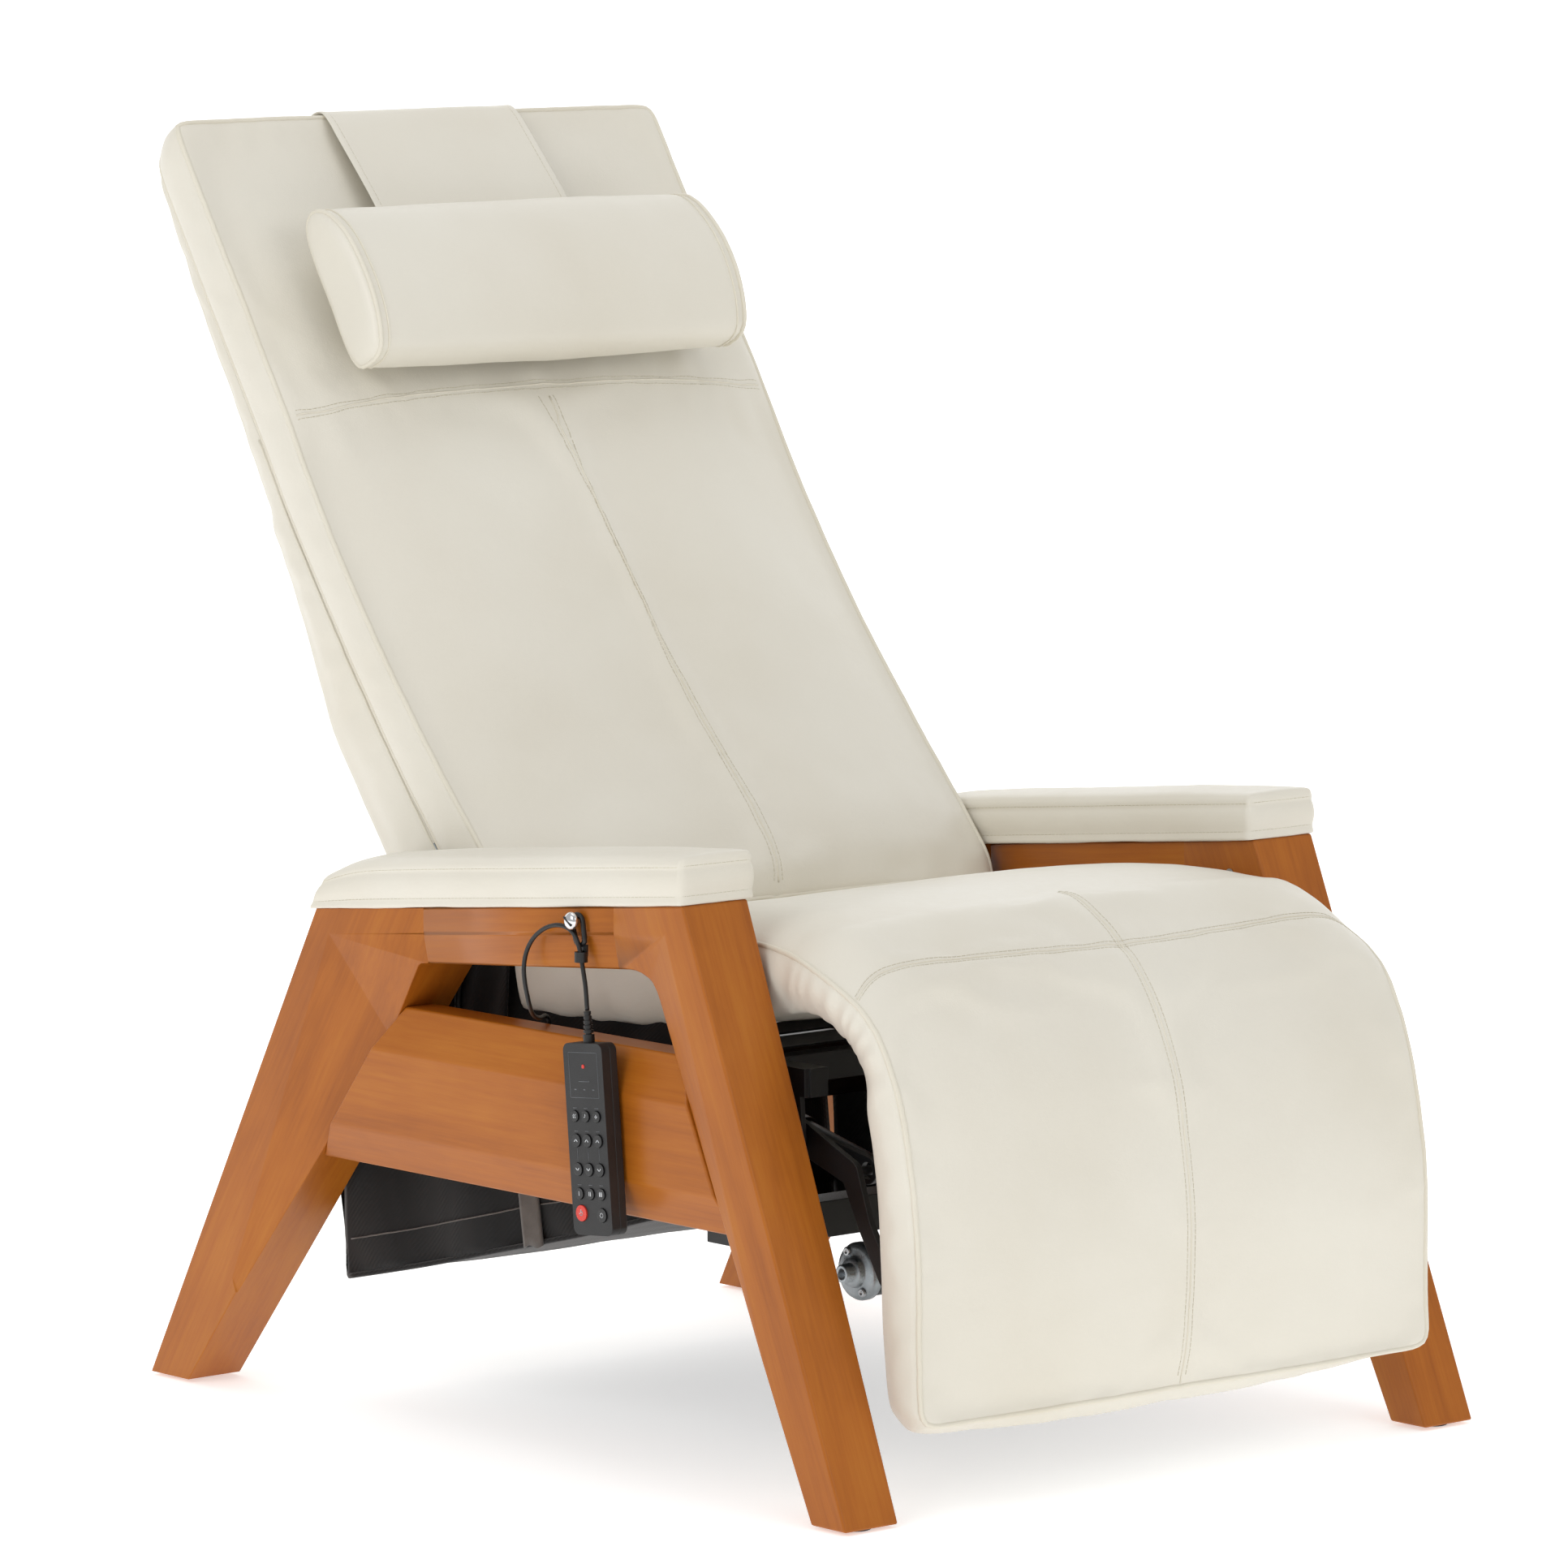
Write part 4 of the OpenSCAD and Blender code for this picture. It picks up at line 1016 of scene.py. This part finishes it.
def leg_form(a, b, c):
    """a across, b from the seat's rear to the feet, c from the outside to the inside."""
    t = (b + 1) / 2
    depth = (c + 1) / 2
    half = leg_half(t)
    x, along = corner(half * a, t * LEG_LEN, half, LEG_LEN, between(26, 34, depth))
    t = along / LEG_LEN
    ey, ez, cy, cz, thick = spline(LEG_PATH, t)
    edge, crown, inward = Vector((ey, ez)), Vector((cy, cz)), square_to(LEG_PATH, t)
    u = min(1.0, abs(x) / half)
    rim = 1 - u ** between(9.0, 4.0, smooth((t - 0.4) / 0.25))
    rim *= between(1.0, 0.4, smooth((t - 0.955) / 0.045))
    outer = edge + (crown - edge) * rim
    if c < -0.999:
        seam = (t - knee_seam_t(a)) * LEG_LEN
        outer = outer + inward * (groove(seam, 7, 3.0) * rim ** 0.3)
        if t > CENTRE_SEAM_T:
            outer = outer + inward * groove(x, 5, 2.4) * smooth((t - CENTRE_SEAM_T) / 0.02)
    inner = edge + inward * (thick + 5 * (1 - u ** 2))
    at = outer.lerp(inner, depth)
    if abs(a) > 0.999:
        x += sign_of(a) * 5 * math.sin(math.pi * depth)
        gather = smooth((t - 0.27) / 0.06) * (1 - smooth((t - 0.60) / 0.06))
        wave = math.sin(t * 235 + 2.6 * math.sin(t * 47)) * gather * depth
        x -= sign_of(a) * 9 * gather * depth ** 2
        x += sign_of(a) * 4.5 * wave
        at = at + inward * (-6.0 * wave - 3 * gather * depth)
        creases = (1 - smooth((t - 0.20) / 0.08)) * smooth((depth - 0.5) / 0.3)
        x += sign_of(a) * 3.6 * creases * math.sin(t * 210 + 3 * math.sin(t * 70))
        at = at + inward * (2.5 * creases * math.sin(t * 140 + 1))
        x -= sign_of(a) * groove((depth - 0.5) * thick, 5.0, 3.0) * (1 - smooth((t - 0.25) / 0.06))
    if b > 0.999:
        sag = 4 + 13 * (1 - min(1, abs(x / half + 0.15)) ** 2)
        at = at + Vector((0, -1)) * sag * math.sin(math.pi * depth)
    # the cover sits a little to the left and forward there, as stuffed cushions do
    drift = (1 + x / half) * smooth(t / 0.3)
    return place(x + 3 * drift, at.x - 4 * drift * smooth((t - 0.4) / 0.2), at.y)


def make_leg_cushion():
    counts = (46, 88, 5)

    def sewn(p):
        """All round the front, at its seams, and at the inside of the border."""
        t = (p.y + 1) / 2
        seam = abs(t - knee_seam_t(p.x)) < 0.006 or (abs(p.x) < 0.012 and t > CENTRE_SEAM_T)
        return p.z > 0.5 or p.z < -0.999 and (max(abs(p.x), abs(p.y)) > 0.999 or seam)

    pad = keep(shaped(grid_block(counts), leg_form), "seat_and_leg_cover")
    cushion_sim(pad, sewn_down(counts, sewn), 1.4, 4)
    ripple(pad, (1.8, 0.12, 41.0), (0.6, 0.035, 43.0))
    return pad


def make_leg_trim():
    """The cover, its piping, seams and stitches, made across the knee and left on no body."""
    cover = make_leg_cushion()
    tree = upholster(cover, None, 0.75, "seat_cushion", "legrest_cushion")
    knee = ("seat", "legrest", tuple(place(0, KNEE[0] + 20, KNEE[1] + 178)),
            tuple(place(0, KNEE[0] - 190, KNEE[1] - 10)))
    edge = [(-1, -1 + 2 * i / 120) for i in range(4, 120)]
    edge += [(-1 + 2 * i / 60, 1) for i in range(60)]
    edge += [(1, 1 - 2 * i / 120) for i in range(117)]
    piping = sewn_cord("leg_front_piping", tree, [leg_form(a, b, -1) for a, b in edge], 2.5, None, 7, 0.5, 8)
    rows = []
    for off in (-4.5, 4.5):
        rows.append([leg_form(u, 2 * (knee_seam_t(u) + off / LEG_LEN) - 1, -1) for u in ACROSS])
        rows.append([leg_form(off / LEG_HALF, 2 * (0.38 + 0.61 * i / 50) - 1, -1) for i in range(50)])
    stitches("leg_seam_stitches", None, tree, rows, THREAD, knee)
    knee_seam = [leg_form(u, 2 * knee_seam_t(u) - 1, -1) for u in ACROSS]
    centre_seam = [leg_form(0, 2 * (CENTRE_SEAM_T + 0.615 * i / 50) - 1, -1) for i in range(51)]
    seams = [sewn_cord("leg_knee_seam", tree, knee_seam, 0.9, None),
             sewn_cord("leg_centre_seam", tree, centre_seam, 0.9, None)]
    for piece in [cover, piping] + seams:
        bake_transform(piece)


make_leg_trim()


# ---- Black cloth: the sling under the mechanism and the skirt behind the seat ----

POUCH_HALF = -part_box("dust_pouch")[0].x / MM
POUCH_BOTTOM = [(216, 228), (335, 219), (440, 190), (550, 162), (660, 134), (774, 108)]
POUCH_TOP = 244


def sheet(bm, columns, rows, form):
    """Adds a grid of that many steps, put at form(from 0 to 1 across, from 0 to 1 along)."""
    for v in bmesh.ops.create_grid(bm, x_segments=columns, y_segments=rows, size=1.0)["verts"]:
        v.co = form((v.co.x + 1) / 2, (v.co.y + 1) / 2)


def sling_low(y):
    """How high the sling's lower edge is, behind its second point."""
    return between(190, 108, (y - 440) / 334)


def make_pouch():
    def trough(s, t):
        y, low = spline(POUCH_BOTTOM, t)
        high = between(POUCH_TOP, 250, t)
        h = high - low
        around = s * (2 * h + 2 * POUCH_HALF)
        sag = 6 * math.sin(math.pi * t)
        wave = 3.0 * noise.noise(Vector((y / 90, around / 70, 2.0)))
        fold = 1.6 * math.sin(y / 23 + around / 60)
        if around < h:
            x, z, side = -POUCH_HALF, high - around, -1
        elif around < h + 2 * POUCH_HALF:
            x = -POUCH_HALF + around - h
            z = low - sag * (1 - (x / POUCH_HALF) ** 2)
            return place(x, y, z - max(wave, 0))
        else:
            x, z, side = POUCH_HALF, low + around - h - 2 * POUCH_HALF, 1
        return place(x + side * ((wave + fold) * smooth((high - z) / 30) + 0.5), y, z)

    def rear(s, h):
        u = 2 * s - 1
        y = between(774, 786, smooth(h)) + 3 * noise.noise(Vector((u * 6, h * 2, 7.0)))
        return place(u * POUCH_HALF, y, between(108, 252, h))

    bm = bmesh.new()
    sheet(bm, 110, 60, trough)
    sheet(bm, 60, 14, rear)
    bmesh.ops.remove_doubles(bm, verts=bm.verts, dist=0.002)
    return surface_of(cloth_piece(bm, "mechanism_sling", "frame", 1.2, ["dust_pouch"]))


def make_pouch_trim():
    """Rolled hem along the sling's lower edges, and the tape that binds its side opening."""
    sling = make_pouch()
    for side, sign in SIDES:
        hem = [place(sign * (POUCH_HALF + 12), y, sling_low(y) + 33) for y in range(440, 776, 12)]
        hem = [p for p, _ in laid_on(sling, even_path(hem, 8 * MM), 0.5 * MM)]
        finish_piece(tube(f"sling_hem_{side}", hem, 0.7 * MM, 6), "frame", "black_cloth", TAPE)
        edge = [place(sign * (POUCH_HALF + 0.5), y, z) for y, z in
                ((338, 219), (380, 207), (440, 190), (550, 162), (660, 134), (768, 109))]
        edge = tube(f"sling_edge_{side}", even_path(edge, 8 * MM), 2.4 * MM, 8)
        finish_piece(edge, "frame", "black_cloth", CLOTH)

    def tape_form(a, b, c):
        y = 505 + 13 * b
        return place(-POUCH_HALF - 4 + a * 0.9, y + 5 * c, sling_low(y) + 30 + 32 * c + 2 * math.sin(3 * b))

    tape = keep(shaped(grid_block((1, 8, 8)), tape_form), "sling_binding_tape")
    finish_piece(tape, "frame", "black_cloth", TAPE)


make_pouch_trim()


def make_skirt():
    """Black cloth round the back's hinge, a lining under the seat's edge, the massage motors' lead."""
    def skirt(s, h):
        x = 294.5 + 1.6 * math.sin(s * 23 + 3 * h) * (1 - 0.5 * h)
        return x, between(538, 688, s) + 5 * (1 - h), between(352, between(447, 426, s), h)

    def lining(s, h):
        top = between(392, 440, smooth((s - 0.93) / 0.05))
        return 290 - 9 * h + 1.4 * math.sin(s * 31 + 2 * h), between(196, 556, s), between(352, top, h)

    for side, sign in SIDES:
        for name, body, form in (("hinge_skirt", "back", skirt), ("seat_lining", "seat", lining)):
            bm = bmesh.new()
            sheet(bm, 44, 20, lambda s, h: Vector((sign, 1, 1)) * place(*form(s, h)))
            cloth_piece(bm, f"{name}_{side}", body, 1.0)
    lead = [(584, 446), (590, 430), (599, 414), (606, 398), (609, 380), (607, 360)]
    lead = even_path([place(-296.5, y, z) for y, z in lead], 5 * MM)
    finish_piece(tube("massage_motor_lead", lead, 3 * MM, 10), "back", "black_rubber", RUBBER)


make_skirt()


# ---- Hardware ----

def lathe(name, profile, at, axis, steps=40):
    """A turned piece: the (radius, along) profile spun round its axis, which leaves `at` along `axis`."""
    bm = bmesh.new()
    verts = [bm.verts.new(Vector((r, 0, s)) * MM) for r, s in profile]
    edges = [bm.edges.new(pair) for pair in zip(verts, verts[1:])]
    bmesh.ops.spin(bm, geom=verts + edges, cent=(0, 0, 0), axis=(0, 0, 1), dvec=(0, 0, 0), angle=2 * math.pi,
                   steps=steps, use_merge=True, use_normal_flip=False, use_duplicate=False)
    bmesh.ops.remove_doubles(bm, verts=bm.verts, dist=0.000005)
    outward(bm)
    turn = Vector((0, 0, 1)).rotation_difference(Vector(axis).normalized()).to_matrix()
    bmesh.ops.rotate(bm, cent=(0, 0, 0), matrix=turn, verts=bm.verts)
    bmesh.ops.translate(bm, vec=at, verts=bm.verts)
    return keep(bm, name)


def make_hook():
    profile = [(0, -2), (3, -2), (3, 10.6), (6.8, 11), (7.5, 11.7), (7.8, 13), (7.5, 14.6), (6.4, 16.1),
               (4.6, 17.1), (2.4, 17.6), (0, 17.7)]
    hook = lathe("hook_knob", profile, place(-OUTER_X, *HOOK), (-1, 0, 0))
    finish_piece(hook, "frame", "bright_steel", CHROME, ["remote_hook"])
    # the slot across the knob's end is a thin black bar laid on the chrome: painted shade standing in for the
    # recess
    slot = small_box("hook_slot_painted_shade", (1.2, 12, 1.5), 0.6, place(-OUTER_X - 17.3, *HOOK))
    finish_piece(slot, "frame", "bright_steel", POWDER)
    # the loop the control hangs by is thicker than its web
    top, low = (HOOK[0], HOOK[1] - 2.3), (HOOK[0] - 3.5, HOOK[1] - 15)
    loop = [place(-OUTER_X - 6, at[0] + r * math.cos(math.radians(d)), at[1] + r * math.sin(math.radians(d)))
            for at, r, start, end in ((top, 7.3, -8, 196), (low, 6.2, 196, 350))
            for d in range(start, end, 17)]
    loop = tube("hanging_loop", even_path(loop, 2.5 * MM, True), 2.3 * MM, 10, True)
    finish_piece(loop, "remote", "black_rubber", RUBBER)


make_hook()


def make_plain_nodes():
    """CAD pieces whose shape is right: rounded edges where they show, in mm, and their own finish."""
    finishes = (
        (POWDER, "black_steel", {"front_cross_tube": 1.2, "rear_cross_tube": 1.2, "pivot_brackets": 0.8,
                                 "legrest_frame": 0.8, "legrest_links": 0.8, "seat_frame": 1.0,
                                 "back_frame": 1.0, "actuator_tube": 0.6}),
        (PLASTIC, "black_steel", {"actuator_housing": 1.0}),
        (PLASTIC, "black_plastic", {"control_box": 1.6, "power_inlet": 0.5, "remote_front_shell": 0.9,
                                    "remote_back_shell": 1.6, "foot_glides": 0.8}),
        (ZINC, "bright_steel", {"frame_bolts": 0.4, "actuator_anchor_pin": 0.5, "pivot_pins": 0.6,
                                "lever_pin": 0.5}),
        (ZINC, "zinc_steel", {"massage_motors": 0.8}), (CHROME, "bright_steel", {"actuator_rod": 0.5}),
        (PLY, "plywood", {"back_board": 0.8}), (WEBBING, "black_cloth", {"seat_webbing": 0.4}),
        (PCB, "board_green", {"circuit_board": 0.15}), (RUBBER, "black_rubber", {"hanging_ring": 0.9}),
        (RUBBER, "black_plastic", {"strain_relief": 0.5}), (RED, "red_plastic", {"status_lamp": 0.4}))
    for finish, slot, widths in finishes:
        for node, width in widths.items():
            softened(node, finish, slot, width, 2)
    for node in frame["nodes"]:
        if node.startswith("button_"):
            finish, slot = (RED, "red_plastic") if node == "button_power" else (GLOSS, "black_plastic")
            softened(node, finish, slot, 0.7, 3)


make_plain_nodes()


def make_motor():
    """Geared motor: a black can, and a cast end bell with two screws and a hollow threaded boss."""
    lo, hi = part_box("actuator_motor")
    middle = (lo + hi) / 2

    def turned(name, x, profile, slot, finish, steps=64, off=Vector((0, 0, 0)), nodes=()):
        piece = lathe(name, profile, Vector((x * MM, middle.y, middle.z)) + off, (-1, 0, 0), steps)
        finish_piece(piece, "actuator", slot, finish, nodes)

    def round_axis(angle, radius):
        return Vector((0, math.cos(angle), math.sin(angle))) * radius * MM

    turned("motor_can", -28, [(0, 0), (22.4, 0), (23, 0.8), (23, 146), (22.4, 147.6), (0, 147.6)],
           "black_steel", POWDER, nodes=["actuator_motor"])
    turned("motor_end_bell", -175.2, [
        (0, 0), (24.6, 0), (25.6, 0.8), (25.6, 6), (24, 9), (20, 10.6), (14.6, 11), (13.6, 11.8), (13, 15),
        (12.2, 16.2), (9, 16.6), (8.2, 17), (8, 26), (7.4, 26.8), (5, 26.8), (4.4, 26), (4.2, 14), (0, 14)],
           "zinc_steel", CAST)
    sides, turns, pitch = 14, 7, 0.9
    thread = [Vector(((-193.4 - pitch * k / sides) * MM, middle.y, middle.z))
              + round_axis(2 * math.pi * k / sides, 8.05) for k in range(sides * turns)]
    finish_piece(tube("motor_boss_thread", thread, 0.4 * MM, 5), "actuator", "zinc_steel", CAST)
    for i, angle in enumerate((math.radians(60), math.radians(240))):
        turned(f"motor_screw_{i + 1}", -184.6, [
            (0, 0), (3.9, 0), (4, 0.5), (4, 2.6), (3.4, 3.4), (1.6, 3.6), (1.4, 2.4), (0, 2.4)],
               "zinc_steel", ZINC, 24, round_axis(angle, 19.5))


make_motor()


# ---- Hand control: printed marks and outline ----

REMOTE_LEAN = math.radians(5.3)
REMOTE_TOP = (321, 383.5)
FACE_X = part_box("remote_front_shell")[0].x


def on_remote(across, down, out=0.0):
    """A point on the hand control's face, in mm: across it to the rear, down from its top, out from it."""
    c, s = math.cos(REMOTE_LEAN), math.sin(REMOTE_LEAN)
    at = place(0, REMOTE_TOP[0] + across * c - down * s, REMOTE_TOP[1] - across * s - down * c)
    at.x = FACE_X - out * MM
    return at


def mark(bm, centre, points, width, out, closed=False):
    """A printed line on the face: a raised ribbon through the points."""
    pts = [Vector(p) for p in points]
    if closed:
        pts = pts + [pts[0]]
    for a, b in zip(pts, pts[1:]):
        d = (b - a).normalized() * width / 2
        n = Vector((-d.y, d.x))
        corners = [a - d + n, b + d + n, b + d - n, a - d - n]
        made = bmesh.ops.create_cube(bm, size=1.0)["verts"]
        for v in made:
            k = corners[(0 if v.co.y > 0 else 3) if v.co.x < 0 else (1 if v.co.y > 0 else 2)]
            level = out + (0.12 if v.co.z > 0 else -0.1)
            v.co = on_remote(centre[0] + k.x, centre[1] + k.y, level)


COL = 14.5
UP, DOWN = [(-1.9, 0.9), (0, -1.1), (1.9, 0.9)], [(-1.9, -0.9), (0, 1.1), (1.9, -0.9)]
RING = [(1.9 * math.cos(k * math.pi / 5), 1.9 * math.sin(k * math.pi / 5)) for k in range(10)]
CAPS = {
    "button_heat": (COL, 63, [[(-1.2, 1.4), (-0.4, 0), (-1.2, -1.4)], [(1.0, 1.4), (1.8, 0), (1.0, -1.4)]]),
    "button_timer": (0, 63, [[(0, -1.6), (0, 0), (1.2, 0.8)]]),
    "button_mode": (-COL, 63, [[(-1.4, 0), (1.4, 0)], [(0, -1.4), (0, 1.4)]]),
    "button_raise_leg": (COL, 84, [UP]), "button_raise_all": (0, 84, [UP]),
    "button_raise_back": (-COL, 84, [UP]),
    "button_lower_leg": (COL, 109, [DOWN]), "button_lower_all": (0, 109, [DOWN]),
    "button_lower_back": (-COL, 109, [DOWN]),
    "button_massage_low": (COL, 130, [[(0, -1.6), (0, 1.6)]]),
    "button_massage_mid": (0, 130, [[(-0.9, -1.6), (-0.9, 1.6)], [(0.9, -1.6), (0.9, 1.6)]]),
    "button_massage_high": (-COL, 130, [[(x, -1.6), (x, 1.6)] for x in (-1.5, 0, 1.5)]),
    "button_power": (COL - 1, 147, [RING[:9], [(0, -2.9), (0, -0.6)]]),
    "button_zero": (-COL + 0.5, 148, [RING]),
}


def make_marks():
    cap_out = 1.3
    for node, (across, down, lines) in CAPS.items():
        bm = bmesh.new()
        for line in lines:
            mark(bm, (across, down), line, 0.7, cap_out)
        outward(bm)
        finish_piece(keep(bm, node.replace("button", "mark")), node + "_cap", "black_plastic", PRINT)
    bm = bmesh.new()
    w, top, low = 19, 8, 47
    mark(bm, (0, 0), [(-w, top), (w, top), (w, low), (-w, low)], 0.35, 0.0, True)
    for x in (-12, 0, 12):
        mark(bm, (x, 40), [(-0.8, 0), (0.8, 0)], 1.0, 0.0)
    mark(bm, (0, 33), [(-7, 0), (7, 0)], 0.5, 0.0)
    for x in (-COL, 0, COL):
        mark(bm, (x, 96.5), [(0, -5), (0, 5)], 0.3, 0.0)
        for y in (56, 76, 122.5):
            mark(bm, (x, y), [(-2.2, 0), (2.2, 0)], 0.5, 0.0)
    outward(bm)
    finish_piece(keep(bm, "remote_printed_lines"), "remote", "black_plastic", LED_PRINT)


make_marks()


# ---- Studio ----

def make_studio():
    bm = bmesh.new()
    verts = [bm.verts.new((-9, y, z)) for y, z in
             [(-9, 0), (3.2, 0)]
             + [(3.2 + 2.5 * math.sin(k * math.pi / 24), 2.5 - 2.5 * math.cos(k * math.pi / 24))
                for k in range(1, 13)]
             + [(5.7, 8)]]
    edges = [bm.edges.new(pair) for pair in zip(verts, verts[1:])]
    made = bmesh.ops.extrude_edge_only(bm, edges=edges)["geom"]
    bmesh.ops.translate(bm, vec=(18, 0, 0), verts=[g for g in made if isinstance(g, bmesh.types.BMVert)])
    bmesh.ops.rotate(bm, cent=(0, 0, 0), matrix=Matrix.Rotation(CAMERA_AZIMUTH, 3, "Z"), verts=bm.verts)
    floor = keep(bm, "studio_floor")
    paper, shader = material("studio_paper", Roughness=0.9, Specular_IOR_Level=0.1)
    fibre = cloud(paper, object_place(paper), 2.0, 2.0)
    wire(paper, shader, Base_Color=ramp(paper, fibre, [(0.3, "#F6F6F5"), (0.7, "#FAFAF9")]))
    shader.inputs["Emission Color"].default_value = (1, 1, 1, 1)
    shader.inputs["Emission Strength"].default_value = 0.5
    floor.data.materials.append(paper)

    world = bpy.data.worlds.new("studio")
    bpy.context.scene.world = world
    world.use_nodes = True
    sky = world.node_tree.nodes["Background"]
    sky.inputs["Color"].default_value = (1.0, 1.0, 1.0, 1)
    sky.inputs["Strength"].default_value = 0.55

    def soft_box(name, at, aim, size, power, colour=(1, 1, 1)):
        data = bpy.data.lights.new(name, "AREA")
        data.shape = "RECTANGLE"
        data.size, data.size_y = size
        data.energy = power
        data.color = colour
        lamp = bpy.data.objects.new(name, data)
        bpy.context.scene.collection.objects.link(lamp)
        lamp.location = at
        lamp.rotation_euler = (Vector(aim) - Vector(at)).to_track_quat("-Z", "Y").to_euler()

    soft_box("key_softbox", (-4.2, -0.6, 2.8), (0, 0, 0.6), (2.6, 2.6), 48)
    soft_box("front_softbox", (0.4, -4.6, 2.6), (0, 0, 0.6), (2.6, 2.2), 30)
    soft_box("top_softbox", (0, 0.2, 4.2), (0, 0, 0), (3.0, 3.0), 24)
    view = bpy.context.scene.view_settings
    view.view_transform = "Standard"
    view.look = "None"
    view.exposure = 0.0


make_studio()
